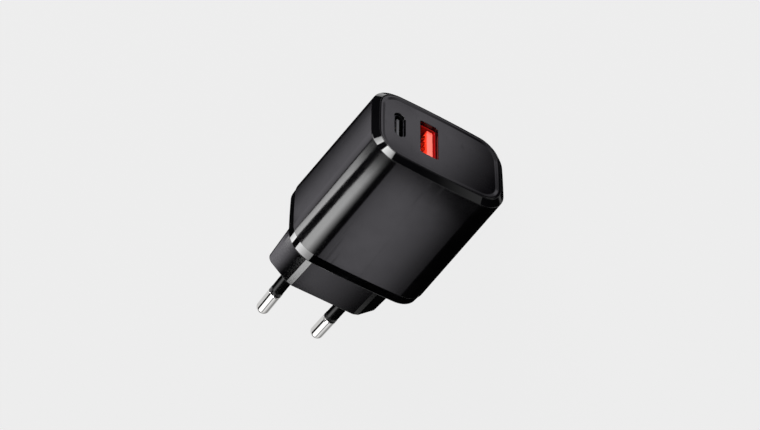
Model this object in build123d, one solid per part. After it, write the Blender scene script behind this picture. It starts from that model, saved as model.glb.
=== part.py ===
from build123d import *
import math
import os

os.makedirs("parts", exist_ok=True)

# A two-port USB wall charger with a fixed two-pin plug.
# Frame: the origin is the centre of the plug face, between the pins. +Y runs out along the
# pins towards the wall, the ports look towards -Y, and the two wide faces look to +Z and -Z.
# All sizes are in millimetres.

# ---------------------------------------------------------------- driving dimensions
# Case
BLOCK_DEPTH = 16.25            # plug block, from the case's rear face to the plug face
BODY_LENGTH = 43.25            # rear face to port face
BAND_LENGTH = 3.25             # glossy rear band, part of the plug cap
BAND_INSET = 0.2
BEVEL_DEPTH = 1.45             # glossy front bevel, along Y
BEVEL_INSET = 1.75             # and across
REAR_HALF = (21.3, 15.2)       # half width and half height at the rear joint
FRONT_HALF = (21.05, 14.2)     # and at the front joint: the sleeve has moulding draft
CROWN_NARROW = 0.3             # how far the narrow faces bulge
CROWN_WIDE = 0.7               # how far the wide faces bulge
CORNER_RADIUS = 8.5
WALL = 1.75
LIP = 0.95                     # outer lip of the sleeve's rebates
FIT_GAP = 0.05                 # clearance between a tongue and its rebate
TONGUE_LENGTH = 3.9
BARB_HEIGHT = 0.4
BARB_LENGTH = 1.2
BARB_WIDTH = 6.0

# Plug block: a long hexagon with rounded corners, drafted towards the wall
PLUG_HALF = (17.6, 7.25)
PLUG_FLAT_HALF = 10.0
PLUG_ROUND = 2.8
PLUG_DRAFT = 0.06              # growth of each half size per millimetre of depth
PLUG_FACE_WALL = 5.0
PLUG_WALL = 1.8

# Pins
PIN_SPACING = 18.6             # at the plug face
PIN_TIP_SPACING = 17.9
PIN_LENGTH = 19.0
PIN_RADIUS = 2.0
PIN_TIP_ROUND = 1.5
PIN_NECK_RADIUS = 1.5
PIN_COLLAR_RADIUS = 2.5
PIN_TAIL = 14.5                # length behind the plug face
PIN_SLEEVE_RADIUS = 1.9
PIN_SLEEVE_LENGTH = 10.6
PIN_SLEEVE_ROOT = 2.0          # how deep the sleeve starts below the plug face
PIN_RELIEF = (0.12, 0.25)      # width and depth of the relief ring round each sleeve's root

# Port panel
PANEL_THICKNESS = 1.5
PANEL_GAP = 0.05
PANEL_LAND = 0.1               # flat edge of the bezel round the panel
PANEL_EDGE_ROUND = 0.3
PANEL_DISH = 0.15
DISH_INSET = (0.6, 1.6)
LEDGE_WIDTH = 1.75
LEDGE_THICKNESS = 1.4
PEG_RADIUS = 0.6
PEG_X = 12.0

# USB-A port
USB_A_CENTRE = (3.6, -0.5)     # x and z
USB_A_OPENING = (5.6, 12.9)
USB_A_CAVITY = (5.12, 12.5)
USB_A_WALL = 0.49
USB_A_SHELL_WALL = 0.3
USB_A_TONGUE = (1.84, 11.1)
USB_A_TONGUE_SHIFT = -1.1
USB_A_TONGUE_RECESS = 1.7
USB_A_BASE = 3.0
USB_A_CONTACT_Z = (-3.5, -1.0, 1.0, 3.5)

# USB-C port
USB_C_CENTRE = (12.9, -0.5)
USB_C_OPENING = (3.5, 9.4)
USB_C_SHELL = (3.26, 8.94)
USB_C_SHELL_WALL = 0.3
USB_C_SHELL_RECESS = 0.7
USB_C_TONGUE = (0.7, 6.69)
USB_C_TONGUE_RECESS = 1.2
USB_C_BASE_LENGTH = 4.3
USB_C_PITCH = 0.5
USB_C_PER_SIDE = 12

# Boards
BOARD_TOP = -8.0
BOARD_THICKNESS = 1.6
BOARD_HALF_WIDTH = 17.5
PORT_BOARD_THICKNESS = 1.0
RAIL_TIP = 16.9
RAIL_HEIGHT = 1.0
LEAD_RADIUS = 0.3
LEAD_HOLE_RADIUS = 0.42
LEAD_BELOW = 1.0               # how far a lead stands out under the main board

# Stations along Y
Y_REAR = -BLOCK_DEPTH
Y_BAND = Y_REAR - BAND_LENGTH
Y_PORT = Y_REAR - BODY_LENGTH
Y_BEVEL = Y_PORT + BEVEL_DEPTH
Y_PANEL_BACK = Y_PORT + PANEL_THICKNESS
Y_BOARD = (-56.5, -21.0)
Y_PORT_BOARD = (-45.7, -45.7 + PORT_BOARD_THICKNESS)
BOARD_BOTTOM = BOARD_TOP - BOARD_THICKNESS
LEAD_END = BOARD_BOTTOM - LEAD_BELOW


# ---------------------------------------------------------------- shared shapes
def cuboid(x, y, z):
    """A box given by its low and high value on each axis."""
    size = [high - low for low, high in (x, y, z)]
    middle = [(high + low) / 2 for low, high in (x, y, z)]
    return Pos(*middle) * Box(*size)


def rod(radius, start, end):
    """A round bar from one point to another."""
    along = Vector(*end) - Vector(*start)
    bar = Cylinder(radius, along.length, align=(Align.CENTER, Align.CENTER, Align.MIN))
    return Plane(origin=start, z_dir=along) * bar


def across(y):
    """The plane across the case at a station, with X to the right and Z up."""
    return Plane(origin=(0, y, 0), x_dir=(1, 0, 0), z_dir=(0, -1, 0))


def crowned_outline(half_width, half_height, radius):
    """A rounded rectangle whose four sides bulge slightly."""
    w = half_width - CROWN_NARROW
    h = half_height - CROWN_WIDE
    corners = [(w, -h), (w, h), (-w, h), (-w, -h)]
    middles = [(half_width, 0), (0, half_height), (-half_width, 0), (0, -half_height)]
    sides = [ThreePointArc(corners[i], middles[i], corners[(i + 1) % 4]) for i in range(4)]
    flat = make_face(sides)
    return fillet(flat.vertices(), radius)


def case_section(y, inset):
    """The case's outline at a station, moved inwards."""
    t = min(max((y - Y_BAND) / (Y_BEVEL - Y_BAND), 0), 1)
    half = [rear + (front - rear) * t for rear, front in zip(REAR_HALF, FRONT_HALF)]
    return across(y) * crowned_outline(half[0] - inset, half[1] - inset, CORNER_RADIUS - inset)


def case_form(y_start, y_end, inset, end_inset=None):
    """The solid form of the case between two stations."""
    last = inset if end_inset is None else end_inset
    return loft([case_section(y_start, inset), case_section(y_end, last)], ruled=True)


def barbs(y_middle, outer_inset, inner_inset, grow):
    """Four snap barbs, two on each wide face, or with grow the pockets that they click into."""
    y0 = y_middle - BARB_LENGTH / 2 - grow
    y1 = y_middle + BARB_LENGTH / 2 + grow
    layer = case_form(y1, y0, outer_inset) - case_form(y1, y0, inner_inset)
    half = BARB_WIDTH / 2 + grow
    reach = REAR_HALF[1] + 1
    windows = [cuboid((x - half, x + half), (y0 - 1, y1 + 1), (-reach, reach)) for x in (-8, 8)]
    return layer & (windows[0] + windows[1])


def plug_section(y, inset):
    """The plug block's long hexagon at a station, moved inwards."""
    grow = -y * PLUG_DRAFT
    rounding = PLUG_ROUND - inset
    centre_x = PLUG_HALF[0] + grow - PLUG_ROUND
    centre_z = PLUG_HALF[1] + grow - PLUG_ROUND
    slope = math.atan2(centre_z, centre_x - PLUG_FLAT_HALF)
    tip = centre_x + rounding / math.sin(slope)
    flat = PLUG_FLAT_HALF + rounding * math.tan(slope / 2)
    top = centre_z + rounding
    points = [(tip, 0), (flat, top), (-flat, top), (-tip, 0), (-flat, -top), (flat, -top)]
    outline = make_face(Polyline(*points, close=True))
    return across(y) * fillet(outline.vertices(), rounding)


def plug_form(y_start, y_end, inset):
    """The plug block's solid form between two stations."""
    return loft([plug_section(y_start, inset), plug_section(y_end, inset)], ruled=True)


def port_tube(centre, size, y_start, y_end, radius):
    """A bar along Y with a rounded rectangular section, centred on a port."""
    profile = Pos(*centre) * RectangleRounded(size[0], size[1], radius)
    return extrude(across(y_end) * profile, amount=y_end - y_start)


def leads(points, top):
    """Round wires that come down through the main board."""
    return [rod(LEAD_RADIUS, (x, y, LEAD_END), (x, y, top)) for x, y in points]


def fuse_all(solids):
    """One solid from several that touch."""
    whole = solids[0]
    for solid in solids[1:]:
        whole = whole + solid
    return whole


def chip(x, y, length, width, height, legs):
    """A moulded chip with gull-wing legs, soldered under the main board."""
    z = BOARD_BOTTOM
    body = cuboid((x - length / 2, x + length / 2), (y - width / 2, y + width / 2), (z - height, z - 0.1))
    body = chamfer(body.faces().sort_by(Axis.Z)[0].edges(), 0.2)
    pitch = length / legs
    for side in (-1, 1):
        inner = y + side * (width / 2 - 0.1)
        outer = y + side * (width / 2 + 0.9)
        for i in range(legs):
            middle = x + (i - (legs - 1) / 2) * pitch
            span = (middle - 0.2, middle + 0.2)
            foot = cuboid(span, sorted((inner + side * 0.5, outer)), (z - 0.2, z))
            knee = cuboid(span, sorted((inner, inner + side * 0.7)), (z - height / 2 - 0.1, z - height / 2 + 0.1))
            drop = cuboid(span, sorted((inner + side * 0.5, inner + side * 0.7)), (z - height / 2 - 0.1, z))
            body = body + foot + knee + drop
    return body


# ---------------------------------------------------------------- where the parts stand on the main board
SPRING_X = PIN_SPACING / 2
FUSE_AT = (-12.4, -27.6)
FUSE_SIZE = (8.4, 4.0, 8.0)
FILM_AT = (-2.4, -27.4)
FILM_SIZE = (9.6, 4.4, 9.0)
INDUCTOR_AT = (4.4, -40.4)
INDUCTOR_RADIUS = 3.2
INDUCTOR_HEIGHT = 8.5
INPUT_CAPS_AT = ((12.3, -31.2), (12.3, -39.6))
INPUT_CAP_RADIUS = 4.0
INPUT_CAP_HEIGHT = 15.5
OUTPUT_CAPS_AT = ((-12.6, -50.6), (-5.4, -50.6))
OUTPUT_CAP_RADIUS = 3.15
OUTPUT_CAP_HEIGHT = 8.0
DISC_AT = (4.4, -33.4)
TRANSFORMER_AT = (-8.2, -37.5)

# Transformer
CORE_HALF_X = 8.2
CORE_HALF_Y = 3.0
CORE_BOTTOM = -5.4
CORE_TOP = 10.0
CORE_YOKE = 2.2
CORE_LEG_HALF = 2.25
FLANGE_HALF_Y = 6.3
FLANGE_THICKNESS = 0.7
TUBE_WALL = 0.6
CORE_GAP = 0.1
WINDING_HALF = (5.3, 5.7)
TAPE_THICKNESS = 0.15
RAIL_DEPTH = 2.6


def lead_points():
    """Every round lead's place on the main board, by part."""
    tx, ty = TRANSFORMER_AT
    rail_y = FLANGE_HALF_Y - RAIL_DEPTH / 2
    return {
        "fuse": [(FUSE_AT[0] - 2.5, FUSE_AT[1]), (FUSE_AT[0] + 2.5, FUSE_AT[1])],
        "film": [(FILM_AT[0] - 3.75, FILM_AT[1]), (FILM_AT[0] + 3.75, FILM_AT[1])],
        "inductor": [(INDUCTOR_AT[0] - 1.5, INDUCTOR_AT[1]), (INDUCTOR_AT[0] + 1.5, INDUCTOR_AT[1])],
        "input": [(x + d, y) for x, y in INPUT_CAPS_AT for d in (-1.75, 1.75)],
        "output": [(x + d, y) for x, y in OUTPUT_CAPS_AT for d in (-1.25, 1.25)],
        "disc": [(DISC_AT[0] - 2.5, DISC_AT[1]), (DISC_AT[0] + 2.5, DISC_AT[1])],
        "transformer": [(tx + dx, ty + dy) for dy in (-rail_y, rail_y) for dx in (-3.75, -1.25, 1.25, 3.75)],
    }


# ---------------------------------------------------------------- case
def housing_sleeve():
    """The main sleeve: a drafted tube, rebated at both ends, with board rails and floor ribs."""
    body = case_form(Y_BAND, Y_BEVEL, 0) - case_form(Y_BAND + 1, Y_BEVEL - 1, WALL)
    for y_end, inward in ((Y_BAND, -1), (Y_BEVEL, 1)):
        y_far = y_end + inward * (TONGUE_LENGTH + FIT_GAP)
        body = body - case_form(max(y_end, y_far), min(y_end, y_far), LIP)
        y_barb = y_end + inward * (TONGUE_LENGTH - 1.4)
        body = body - barbs(y_barb, LIP - BARB_HEIGHT, LIP + 0.01, FIT_GAP)
    inside = case_form(Y_BAND - TONGUE_LENGTH - 0.6, Y_BEVEL + TONGUE_LENGTH + 0.6, WALL - 0.1)
    y_span = (Y_BEVEL, Y_BAND)
    above = (BOARD_TOP + FIT_GAP, BOARD_TOP + FIT_GAP + RAIL_HEIGHT)
    below = (BOARD_BOTTOM - FIT_GAP - RAIL_HEIGHT, BOARD_BOTTOM - FIT_GAP)
    for side in (-1, 1):
        span = sorted((side * RAIL_TIP, side * 21))
        for height in (above, below):
            body = body + (cuboid(span, y_span, height) & inside)
        rib = cuboid(sorted((side * 9.4, side * 10.6)), y_span, (-14, SHEET_Z[0]))
        body = body + (rib & inside)
    return body


def pin_bosses():
    """Two round bosses that hold the pins' shanks behind the plug face."""
    return [rod(3.3, (side * PIN_SPACING / 2, -PLUG_FACE_WALL - 6.5, 0), (side * PIN_SPACING / 2, -1, 0))
            for side in (-1, 1)]


def plug_cap():
    """The rear cap: glossy band, rear face and hollow plug block in one moulding."""
    band = case_form(Y_REAR, Y_BAND, BAND_INSET, 0)
    band = band + case_form(Y_BAND, Y_BAND - TONGUE_LENGTH, LIP + FIT_GAP)
    hollow_start = Y_REAR - 2.0
    band = band - case_form(hollow_start, Y_BAND - TONGUE_LENGTH - 1, WALL)
    band = band + barbs(Y_BAND - TONGUE_LENGTH + 1.4, LIP - BARB_HEIGHT + FIT_GAP, LIP + 0.2, 0)
    cap = band + plug_form(0, Y_REAR - 0.5, 0)
    cap = cap - plug_form(-PLUG_FACE_WALL, hollow_start - 1, PLUG_WALL)
    for boss in pin_bosses():
        cap = cap + boss
    for side in (-1, 1):
        stop = cuboid(sorted((side * 13, side * 15)), (Y_BOARD[1], hollow_start + 0.1), (-10.6, -6.8))
        cap = cap + stop
        cap = cap - pin_blank(side)
        width, depth = PIN_RELIEF
        x = side * PIN_SPACING / 2
        cap = cap - rod(PIN_SLEEVE_RADIUS + width, (x, -depth, 0), (x, 1, 0))
    return cap


def front_bezel():
    """The glossy front frame: bevelled outside, with a ledge behind for the port panel."""
    pocket = BEVEL_INSET + PANEL_LAND
    y_ledge = Y_PANEL_BACK + LEDGE_THICKNESS
    frame = case_form(Y_BEVEL, Y_PORT, 0, BEVEL_INSET)
    frame = frame + case_form(Y_BEVEL + TONGUE_LENGTH, Y_BEVEL, LIP + FIT_GAP)
    frame = frame - case_form(Y_PANEL_BACK, Y_PORT - 1, pocket)
    frame = frame - case_form(y_ledge + 0.01, Y_PORT - 1, pocket + LEDGE_WIDTH)
    frame = frame - case_form(Y_BEVEL + TONGUE_LENGTH + 1, y_ledge, WALL)
    frame = frame + barbs(Y_BEVEL + TONGUE_LENGTH - 1.4, LIP - BARB_HEIGHT + FIT_GAP, LIP + 0.2, 0)
    for x, z in peg_points():
        frame = frame - rod(PEG_RADIUS + FIT_GAP, (x, Y_PANEL_BACK - 1, z), (x, y_ledge + 1, z))
    return frame


def peg_points():
    """Where the port panel's four pegs pass through the bezel's ledge."""
    z = FRONT_HALF[1] - BEVEL_INSET - PANEL_LAND - LEDGE_WIDTH / 2 - 0.25
    return [(sx * PEG_X, sz * z) for sx in (-1, 1) for sz in (-1, 1)]


def port_panel():
    """The satin face plate, with its two port openings and four staking pegs."""
    outer = BEVEL_INSET + PANEL_LAND + PANEL_GAP
    plate = case_form(Y_PANEL_BACK, Y_PORT, outer)
    plate = fillet(plate.faces().sort_by(Axis.Y)[0].edges(), PANEL_EDGE_ROUND)
    dish = case_form(Y_PORT + PANEL_DISH, Y_PORT - 0.01, outer + DISH_INSET[1], outer + DISH_INSET[0])
    plate = plate - dish
    opening_a = port_tube(USB_A_CENTRE, USB_A_OPENING, Y_PORT - 1, Y_PANEL_BACK + 1, 0.6)
    opening_c = port_tube(USB_C_CENTRE, USB_C_OPENING, Y_PORT - 1, Y_PANEL_BACK + 1, USB_C_OPENING[0] / 2 - 0.01)
    plate = plate - opening_a - opening_c
    for x, z in peg_points():
        plate = plate + rod(PEG_RADIUS, (x, Y_PANEL_BACK - 0.3, z), (x, Y_PANEL_BACK + LEDGE_THICKNESS + 0.4, z))
    return plate


# ---------------------------------------------------------------- plug pins
def pin_place(side):
    """The plane at a pin's root, with its axis along the pin. The pins lean in slightly."""
    lean = (PIN_SPACING - PIN_TIP_SPACING) / 2
    return Plane(origin=(side * PIN_SPACING / 2, 0, 0), z_dir=(-side * lean, PIN_LENGTH, 0))


def pin():
    """One solid metal pin on its own axis, plug face at zero."""
    outline = [
        (0, -PIN_TAIL), (PIN_NECK_RADIUS, -PIN_TAIL), (PIN_NECK_RADIUS, -5), (PIN_COLLAR_RADIUS, -5),
        (PIN_COLLAR_RADIUS, -3.5), (PIN_NECK_RADIUS, -3.5), (PIN_NECK_RADIUS, PIN_SLEEVE_LENGTH),
        (PIN_RADIUS, PIN_SLEEVE_LENGTH), (PIN_RADIUS, PIN_LENGTH), (0, PIN_LENGTH),
    ]
    profile = Plane.XZ * make_face(Polyline(*outline, close=True))
    turned = revolve(profile, Axis.Z)
    tip = turned.edges().filter_by(GeomType.CIRCLE).sort_by(Axis.Z)[-1]
    return fillet(tip, PIN_TIP_ROUND)


def pin_sleeve():
    """The pin's insulating sleeve, moulded round its neck, with a slight flare at the end."""
    flare = 0.08
    outline = [
        (PIN_NECK_RADIUS, -PIN_SLEEVE_ROOT), (PIN_SLEEVE_RADIUS, -PIN_SLEEVE_ROOT),
        (PIN_SLEEVE_RADIUS, PIN_SLEEVE_LENGTH - 1.4), (PIN_SLEEVE_RADIUS + flare, PIN_SLEEVE_LENGTH - 0.6),
        (PIN_SLEEVE_RADIUS + flare, PIN_SLEEVE_LENGTH), (PIN_NECK_RADIUS, PIN_SLEEVE_LENGTH),
    ]
    profile = Plane.XZ * make_face(Polyline(*outline, close=True))
    return revolve(profile, Axis.Z)


def pin_blank(side):
    """A pin with its sleeve as one form, to cut the plug block with."""
    return pin_place(side) * (pin() + pin_sleeve())


def contact_spring(side):
    """A bent strip from the main board that presses on the pin's tail."""
    x = side * SPRING_X
    half, thick = 1.8, 0.4
    tail_y = -PIN_TAIL
    blade = cuboid((x - half, x + half), (tail_y - thick, tail_y), (-3, 2.2))
    reach = cuboid((x - half, x + half), (-21.4, tail_y), (-3, -3 + thick))
    riser = cuboid((x - half, x + half), (-21.8, -21.4), (BOARD_TOP, -3 + thick))
    foot = cuboid((x - half, x + half), (-24.4, -21.4), (BOARD_TOP, BOARD_TOP + thick))
    leg = cuboid((x - 0.6, x + 0.6), (-23.4, -23.0), (LEAD_END, BOARD_TOP + 0.1))
    lean = (PIN_SPACING - PIN_TIP_SPACING) / 2 / PIN_LENGTH
    tilt = Pos(x, tail_y, 0) * Rot(0, 0, side * math.degrees(math.atan(lean))) * Pos(-x, -tail_y, 0)
    return fuse_all([reach, riser, foot, leg, blade]) - tilt * cuboid((x - 5, x + 5), (tail_y, tail_y + 2), (-4, 4))


# ---------------------------------------------------------------- USB-A receptacle
def usb_a_contacts():
    """Four spring contacts along the tongue, with tails through the port board."""
    x = USB_A_CENTRE[0] + USB_A_TONGUE_SHIFT + USB_A_TONGUE[0] / 2
    back = Y_PORT_BOARD[0]
    thick = 0.2
    outer = [(x + thick, back + 2.2), (x + thick, -52.5), (x + 0.95, -55.2), (x + 0.75, -56.2), (x + thick, -57.2)]
    inner = [(x, -57.2), (x + 0.55, -56.1), (x + 0.72, -55.2), (x, -52.7), (x, back + 2.2)]
    profile = make_face(Polyline(*outer, *inner, close=True))
    strips = []
    for dz in USB_A_CONTACT_Z:
        z = USB_A_CENTRE[1] + dz
        strips.append(extrude(Pos(0, 0, z - 0.5) * profile, amount=1.0))
    return strips


def usb_a_tail_slots():
    """The slots in the port board that the four contact tails pass through."""
    x = USB_A_CENTRE[0] + USB_A_TONGUE_SHIFT + USB_A_TONGUE[0] / 2
    return [cuboid((x - 0.1, x + 0.3), (-46.5, -43.0), (USB_A_CENTRE[1] + dz - 0.6, USB_A_CENTRE[1] + dz + 0.6))
            for dz in USB_A_CONTACT_Z]


def usb_a_housing():
    """The red insulator: walls round the mouth, a base, and the tongue that carries the contacts."""
    size = [cavity + 2 * USB_A_WALL for cavity in USB_A_CAVITY]
    back = Y_PORT_BOARD[0]
    body = port_tube(USB_A_CENTRE, size, Y_PANEL_BACK, back, 0.5)
    body = body - port_tube(USB_A_CENTRE, USB_A_CAVITY, Y_PANEL_BACK - 1, back - USB_A_BASE, 0.4)
    centre = (USB_A_CENTRE[0] + USB_A_TONGUE_SHIFT, USB_A_CENTRE[1])
    tongue = port_tube(centre, USB_A_TONGUE, Y_PORT + USB_A_TONGUE_RECESS, back - 1, 0.3)
    body = body + tongue
    for strip in usb_a_contacts():
        body = body - strip
    return body


def usb_a_legs(grow):
    """The shell's four solder legs, or with grow their slots in the port board."""
    half_x = USB_A_CAVITY[0] / 2 + USB_A_WALL
    found = []
    for sx in (-1, 1):
        for sz in (-1, 1):
            inner = USB_A_CENTRE[0] + sx * half_x
            outer = inner + sx * USB_A_SHELL_WALL
            z = USB_A_CENTRE[1] + sz * 4.2
            x_span = (min(inner, outer) - grow, max(inner, outer) + grow)
            found.append(cuboid(x_span, (-46.5, -43.9), (z - 0.6 - grow, z + 0.6 + grow)))
    return found


def usb_a_shell():
    """The folded steel shell round the insulator, soldered to the port board by four legs."""
    inner = [cavity + 2 * USB_A_WALL for cavity in USB_A_CAVITY]
    outer = [value + 2 * USB_A_SHELL_WALL for value in inner]
    front, back = Y_PANEL_BACK + 0.4, Y_PORT_BOARD[0] - 0.2
    shell = port_tube(USB_A_CENTRE, outer, front, back, 0.8)
    shell = shell - port_tube(USB_A_CENTRE, inner, front - 1, back + 1, 0.5)
    for leg in usb_a_legs(0):
        shell = shell + leg
    return shell


# ---------------------------------------------------------------- USB-C receptacle
def usb_c_contacts():
    """Twelve flat contacts on each side of the tongue, running back to the port board."""
    half = USB_C_TONGUE[0] / 2
    thick, width = 0.12, 0.26
    found = []
    for side in (-1, 1):
        x = USB_C_CENTRE[0] + side * half
        for i in range(USB_C_PER_SIDE):
            z = USB_C_CENTRE[1] + (i - (USB_C_PER_SIDE - 1) / 2) * USB_C_PITCH
            span = sorted((x, x - side * thick))
            found.append(cuboid(span, (Y_PORT + 1.7, Y_PORT_BOARD[0]), (z - width / 2, z + width / 2)))
    return found


def stadium(size):
    """The corner radius that makes a rounded rectangle a stadium."""
    return min(size) / 2 - 0.005


def usb_c_tongue():
    """The black insulator: a thin tongue on a base that fills the back of the shell."""
    back = Y_PORT_BOARD[0]
    inner = [value - 2 * USB_C_SHELL_WALL for value in USB_C_SHELL]
    base = port_tube(USB_C_CENTRE, inner, back - USB_C_BASE_LENGTH, back, stadium(inner))
    tongue = port_tube(USB_C_CENTRE, USB_C_TONGUE, Y_PORT + USB_C_TONGUE_RECESS, back - 1, 0.2)
    body = base + tongue
    for strip in usb_c_contacts():
        body = body - strip
    return body


def usb_c_legs(grow):
    """The shell's two solder legs, or with grow their slots in the port board."""
    found = []
    for side in (-1, 1):
        inner = USB_C_CENTRE[0] + side * (USB_C_SHELL[0] / 2 - USB_C_SHELL_WALL)
        outer = inner + side * USB_C_SHELL_WALL
        x_span = (min(inner, outer) - grow, max(inner, outer) + grow)
        z = USB_C_CENTRE[1]
        found.append(cuboid(x_span, (-46.5, -43.9), (z - 1.0 - grow, z + 1.0 + grow)))
    return found


def usb_c_shell():
    """The drawn steel shell, an open stadium tube with two solder legs."""
    inner = [value - 2 * USB_C_SHELL_WALL for value in USB_C_SHELL]
    front, back = Y_PORT + USB_C_SHELL_RECESS, Y_PORT_BOARD[0] - 0.2
    shell = port_tube(USB_C_CENTRE, USB_C_SHELL, front, back, stadium(USB_C_SHELL))
    shell = shell - port_tube(USB_C_CENTRE, inner, front - 1, back + 1, stadium(inner))
    for leg in usb_c_legs(0):
        shell = shell + leg
    return shell


# ---------------------------------------------------------------- boards
SHEET_Z = (-11.95, -11.7)
TAB_X = (0.5, 14.0)
TAB_HALF = 1.5
LINK_X = (-2.2, -1.0, 6.8, 8.0)
LINK_Z = -6.4
LINK_Y = -43.6
LINK_HALF = 0.25


def port_board():
    """The small upright board behind the ports, tabbed into the main board."""
    outline = [
        (-3, BOARD_TOP), (15.5, BOARD_TOP), (18, -5), (18, 7.6), (14.2, 11.2), (-3, 11.2),
    ]
    board = extrude(across(Y_PORT_BOARD[1]) * make_face(Polyline(*outline, close=True)), amount=PORT_BOARD_THICKNESS)
    for x in TAB_X:
        board = board + cuboid((x - TAB_HALF, x + TAB_HALF), Y_PORT_BOARD, (BOARD_BOTTOM - 0.6, BOARD_TOP + 0.5))
    for slot in usb_a_legs(0.1) + usb_a_tail_slots() + usb_c_legs(0.1) + link_pins(0.05):
        board = board - slot
    return board


def link_pins(grow):
    """Right-angle pins that join the port board to the main board."""
    found = []
    for x in LINK_X:
        span = (x - LINK_HALF - grow, x + LINK_HALF + grow)
        flat = cuboid(span, (Y_PORT_BOARD[0], LINK_Y + LINK_HALF), (LINK_Z - LINK_HALF - grow, LINK_Z + LINK_HALF + grow))
        drop_y = (LINK_Y - LINK_HALF - grow, LINK_Y + LINK_HALF + grow)
        drop = cuboid(span, drop_y, (LEAD_END, LINK_Z + LINK_HALF))
        found.append(flat + drop)
    return found


def main_board():
    """The main board, drilled for its leads and slotted for the port board's tabs."""
    board = cuboid((-BOARD_HALF_WIDTH, BOARD_HALF_WIDTH), Y_BOARD, (BOARD_BOTTOM, BOARD_TOP))
    board = fillet(board.edges().filter_by(Axis.Z), 1.5)
    for points in lead_points().values():
        for x, y in points:
            board = board - rod(LEAD_HOLE_RADIUS, (x, y, BOARD_BOTTOM - 1), (x, y, BOARD_TOP + 1))
    for side in (-1, 1):
        x = side * SPRING_X
        board = board - cuboid((x - 0.7, x + 0.7), (-23.5, -22.9), (BOARD_BOTTOM - 1, BOARD_TOP + 1))
    for x in TAB_X:
        half = TAB_HALF + 0.1
        slot_y = (Y_PORT_BOARD[0] - 0.05, Y_PORT_BOARD[1] + 0.05)
        board = board - cuboid((x - half, x + half), slot_y, (BOARD_BOTTOM - 1, BOARD_TOP + 1))
    for pin_slot in link_pins(0.05):
        board = board - pin_slot
    return board


def solder_joints():
    """A small cone of solder round each lead, under the main board."""
    found = []
    for points in lead_points().values():
        for x, y in points:
            cone = Pos(x, y, BOARD_BOTTOM - 0.3) * Cone(LEAD_RADIUS + 0.15, 0.85, 0.6)
            found.append(cone - rod(LEAD_RADIUS, (x, y, LEAD_END - 1), (x, y, BOARD_TOP)))
    return found


# ---------------------------------------------------------------- parts on the boards
def standing_box(at, size, edge):
    """A moulded box part that stands on the main board."""
    (x, y), (length, width, height) = at, size
    body = cuboid((x - length / 2, x + length / 2), (y - width / 2, y + width / 2), (BOARD_TOP, BOARD_TOP + height))
    return fillet(body.edges().filter_by(Axis.Z), edge)


def round_can(at, radius, height, lift):
    """An aluminium can with a rolled groove near its foot and a crimped rim."""
    base = BOARD_TOP + lift
    x, y = at
    can = rod(radius, (x, y, base), (x, y, base + height))
    can = fillet(can.edges().sort_by(Axis.Z)[-1], 0.5)
    groove = Pos(x, y, base + 1.6) * Torus(radius + 0.1, 0.35)
    bore = rod(radius - 0.6, (x, y, base), (x, y, base + 1.0))
    return can - groove - bore


def bungs(places, radius, lift):
    """The rubber bungs that close the cans, standing on the board."""
    found = []
    for x, y in places:
        bung = rod(radius - 0.6, (x, y, BOARD_TOP), (x, y, BOARD_TOP + lift + 1.0))
        for dx in lead_offsets(x, y):
            bung = bung - rod(LEAD_RADIUS, (x + dx, y, BOARD_TOP - 1), (x + dx, y, BOARD_TOP + 3))
        found.append(bung)
    return found


def lead_offsets(x, y):
    """The X offsets of the leads that belong to the part at a place."""
    table = lead_points()
    return [px - x for px, py in table["input"] + table["output"] if py == y and abs(px - x) < 2]


def jackets():
    """The printed plastic jackets shrunk round the input capacitors."""
    found = []
    for x, y in INPUT_CAPS_AT:
        low, high = BOARD_TOP + 2.4, BOARD_TOP + 0.4 + INPUT_CAP_HEIGHT - 1.0
        tube = rod(INPUT_CAP_RADIUS + 0.15, (x, y, low), (x, y, high))
        found.append(tube - rod(INPUT_CAP_RADIUS, (x, y, low - 1), (x, y, high + 1)))
    return found


def inductor_core():
    """A ferrite drum with two flanges."""
    x, y = INDUCTOR_AT
    top = BOARD_TOP + INDUCTOR_HEIGHT
    drum = rod(INDUCTOR_RADIUS, (x, y, BOARD_TOP), (x, y, top))
    ring = rod(INDUCTOR_RADIUS + 1, (x, y, BOARD_TOP + 1.4), (x, y, top - 1.2))
    waist = ring - rod(1.6, (x, y, BOARD_TOP), (x, y, top))
    drum = drum - waist
    for px, py in lead_points()["inductor"]:
        drum = drum - rod(LEAD_RADIUS, (px, py, BOARD_TOP - 1), (px, py, BOARD_TOP + 0.8))
    return drum


def inductor_winding():
    """The copper winding on the drum."""
    x, y = INDUCTOR_AT
    low, high = BOARD_TOP + 1.4, BOARD_TOP + INDUCTOR_HEIGHT - 1.2
    return rod(INDUCTOR_RADIUS - 0.3, (x, y, low), (x, y, high)) - rod(1.6, (x, y, low - 1), (x, y, high + 1))


def transformer_core():
    """Two ferrite E halves that meet at mid height."""
    x, y = TRANSFORMER_AT
    window_low, window_high = CORE_BOTTOM + CORE_YOKE, CORE_TOP - CORE_YOKE
    y_span = (y - CORE_HALF_Y, y + CORE_HALF_Y)
    block = cuboid((x - CORE_HALF_X, x + CORE_HALF_X), y_span, (CORE_BOTTOM, CORE_TOP))
    for side in (-1, 1):
        span = sorted((x + side * CORE_LEG_HALF, x + side * (CORE_HALF_X - CORE_YOKE)))
        block = block - cuboid(span, (y - 9, y + 9), (window_low, window_high))
    middle = (CORE_BOTTOM + CORE_TOP) / 2
    cut = cuboid((x - 20, x + 20), (y - 20, y + 20), (middle, middle + 20))
    return [block - cut, block & cut]


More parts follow.
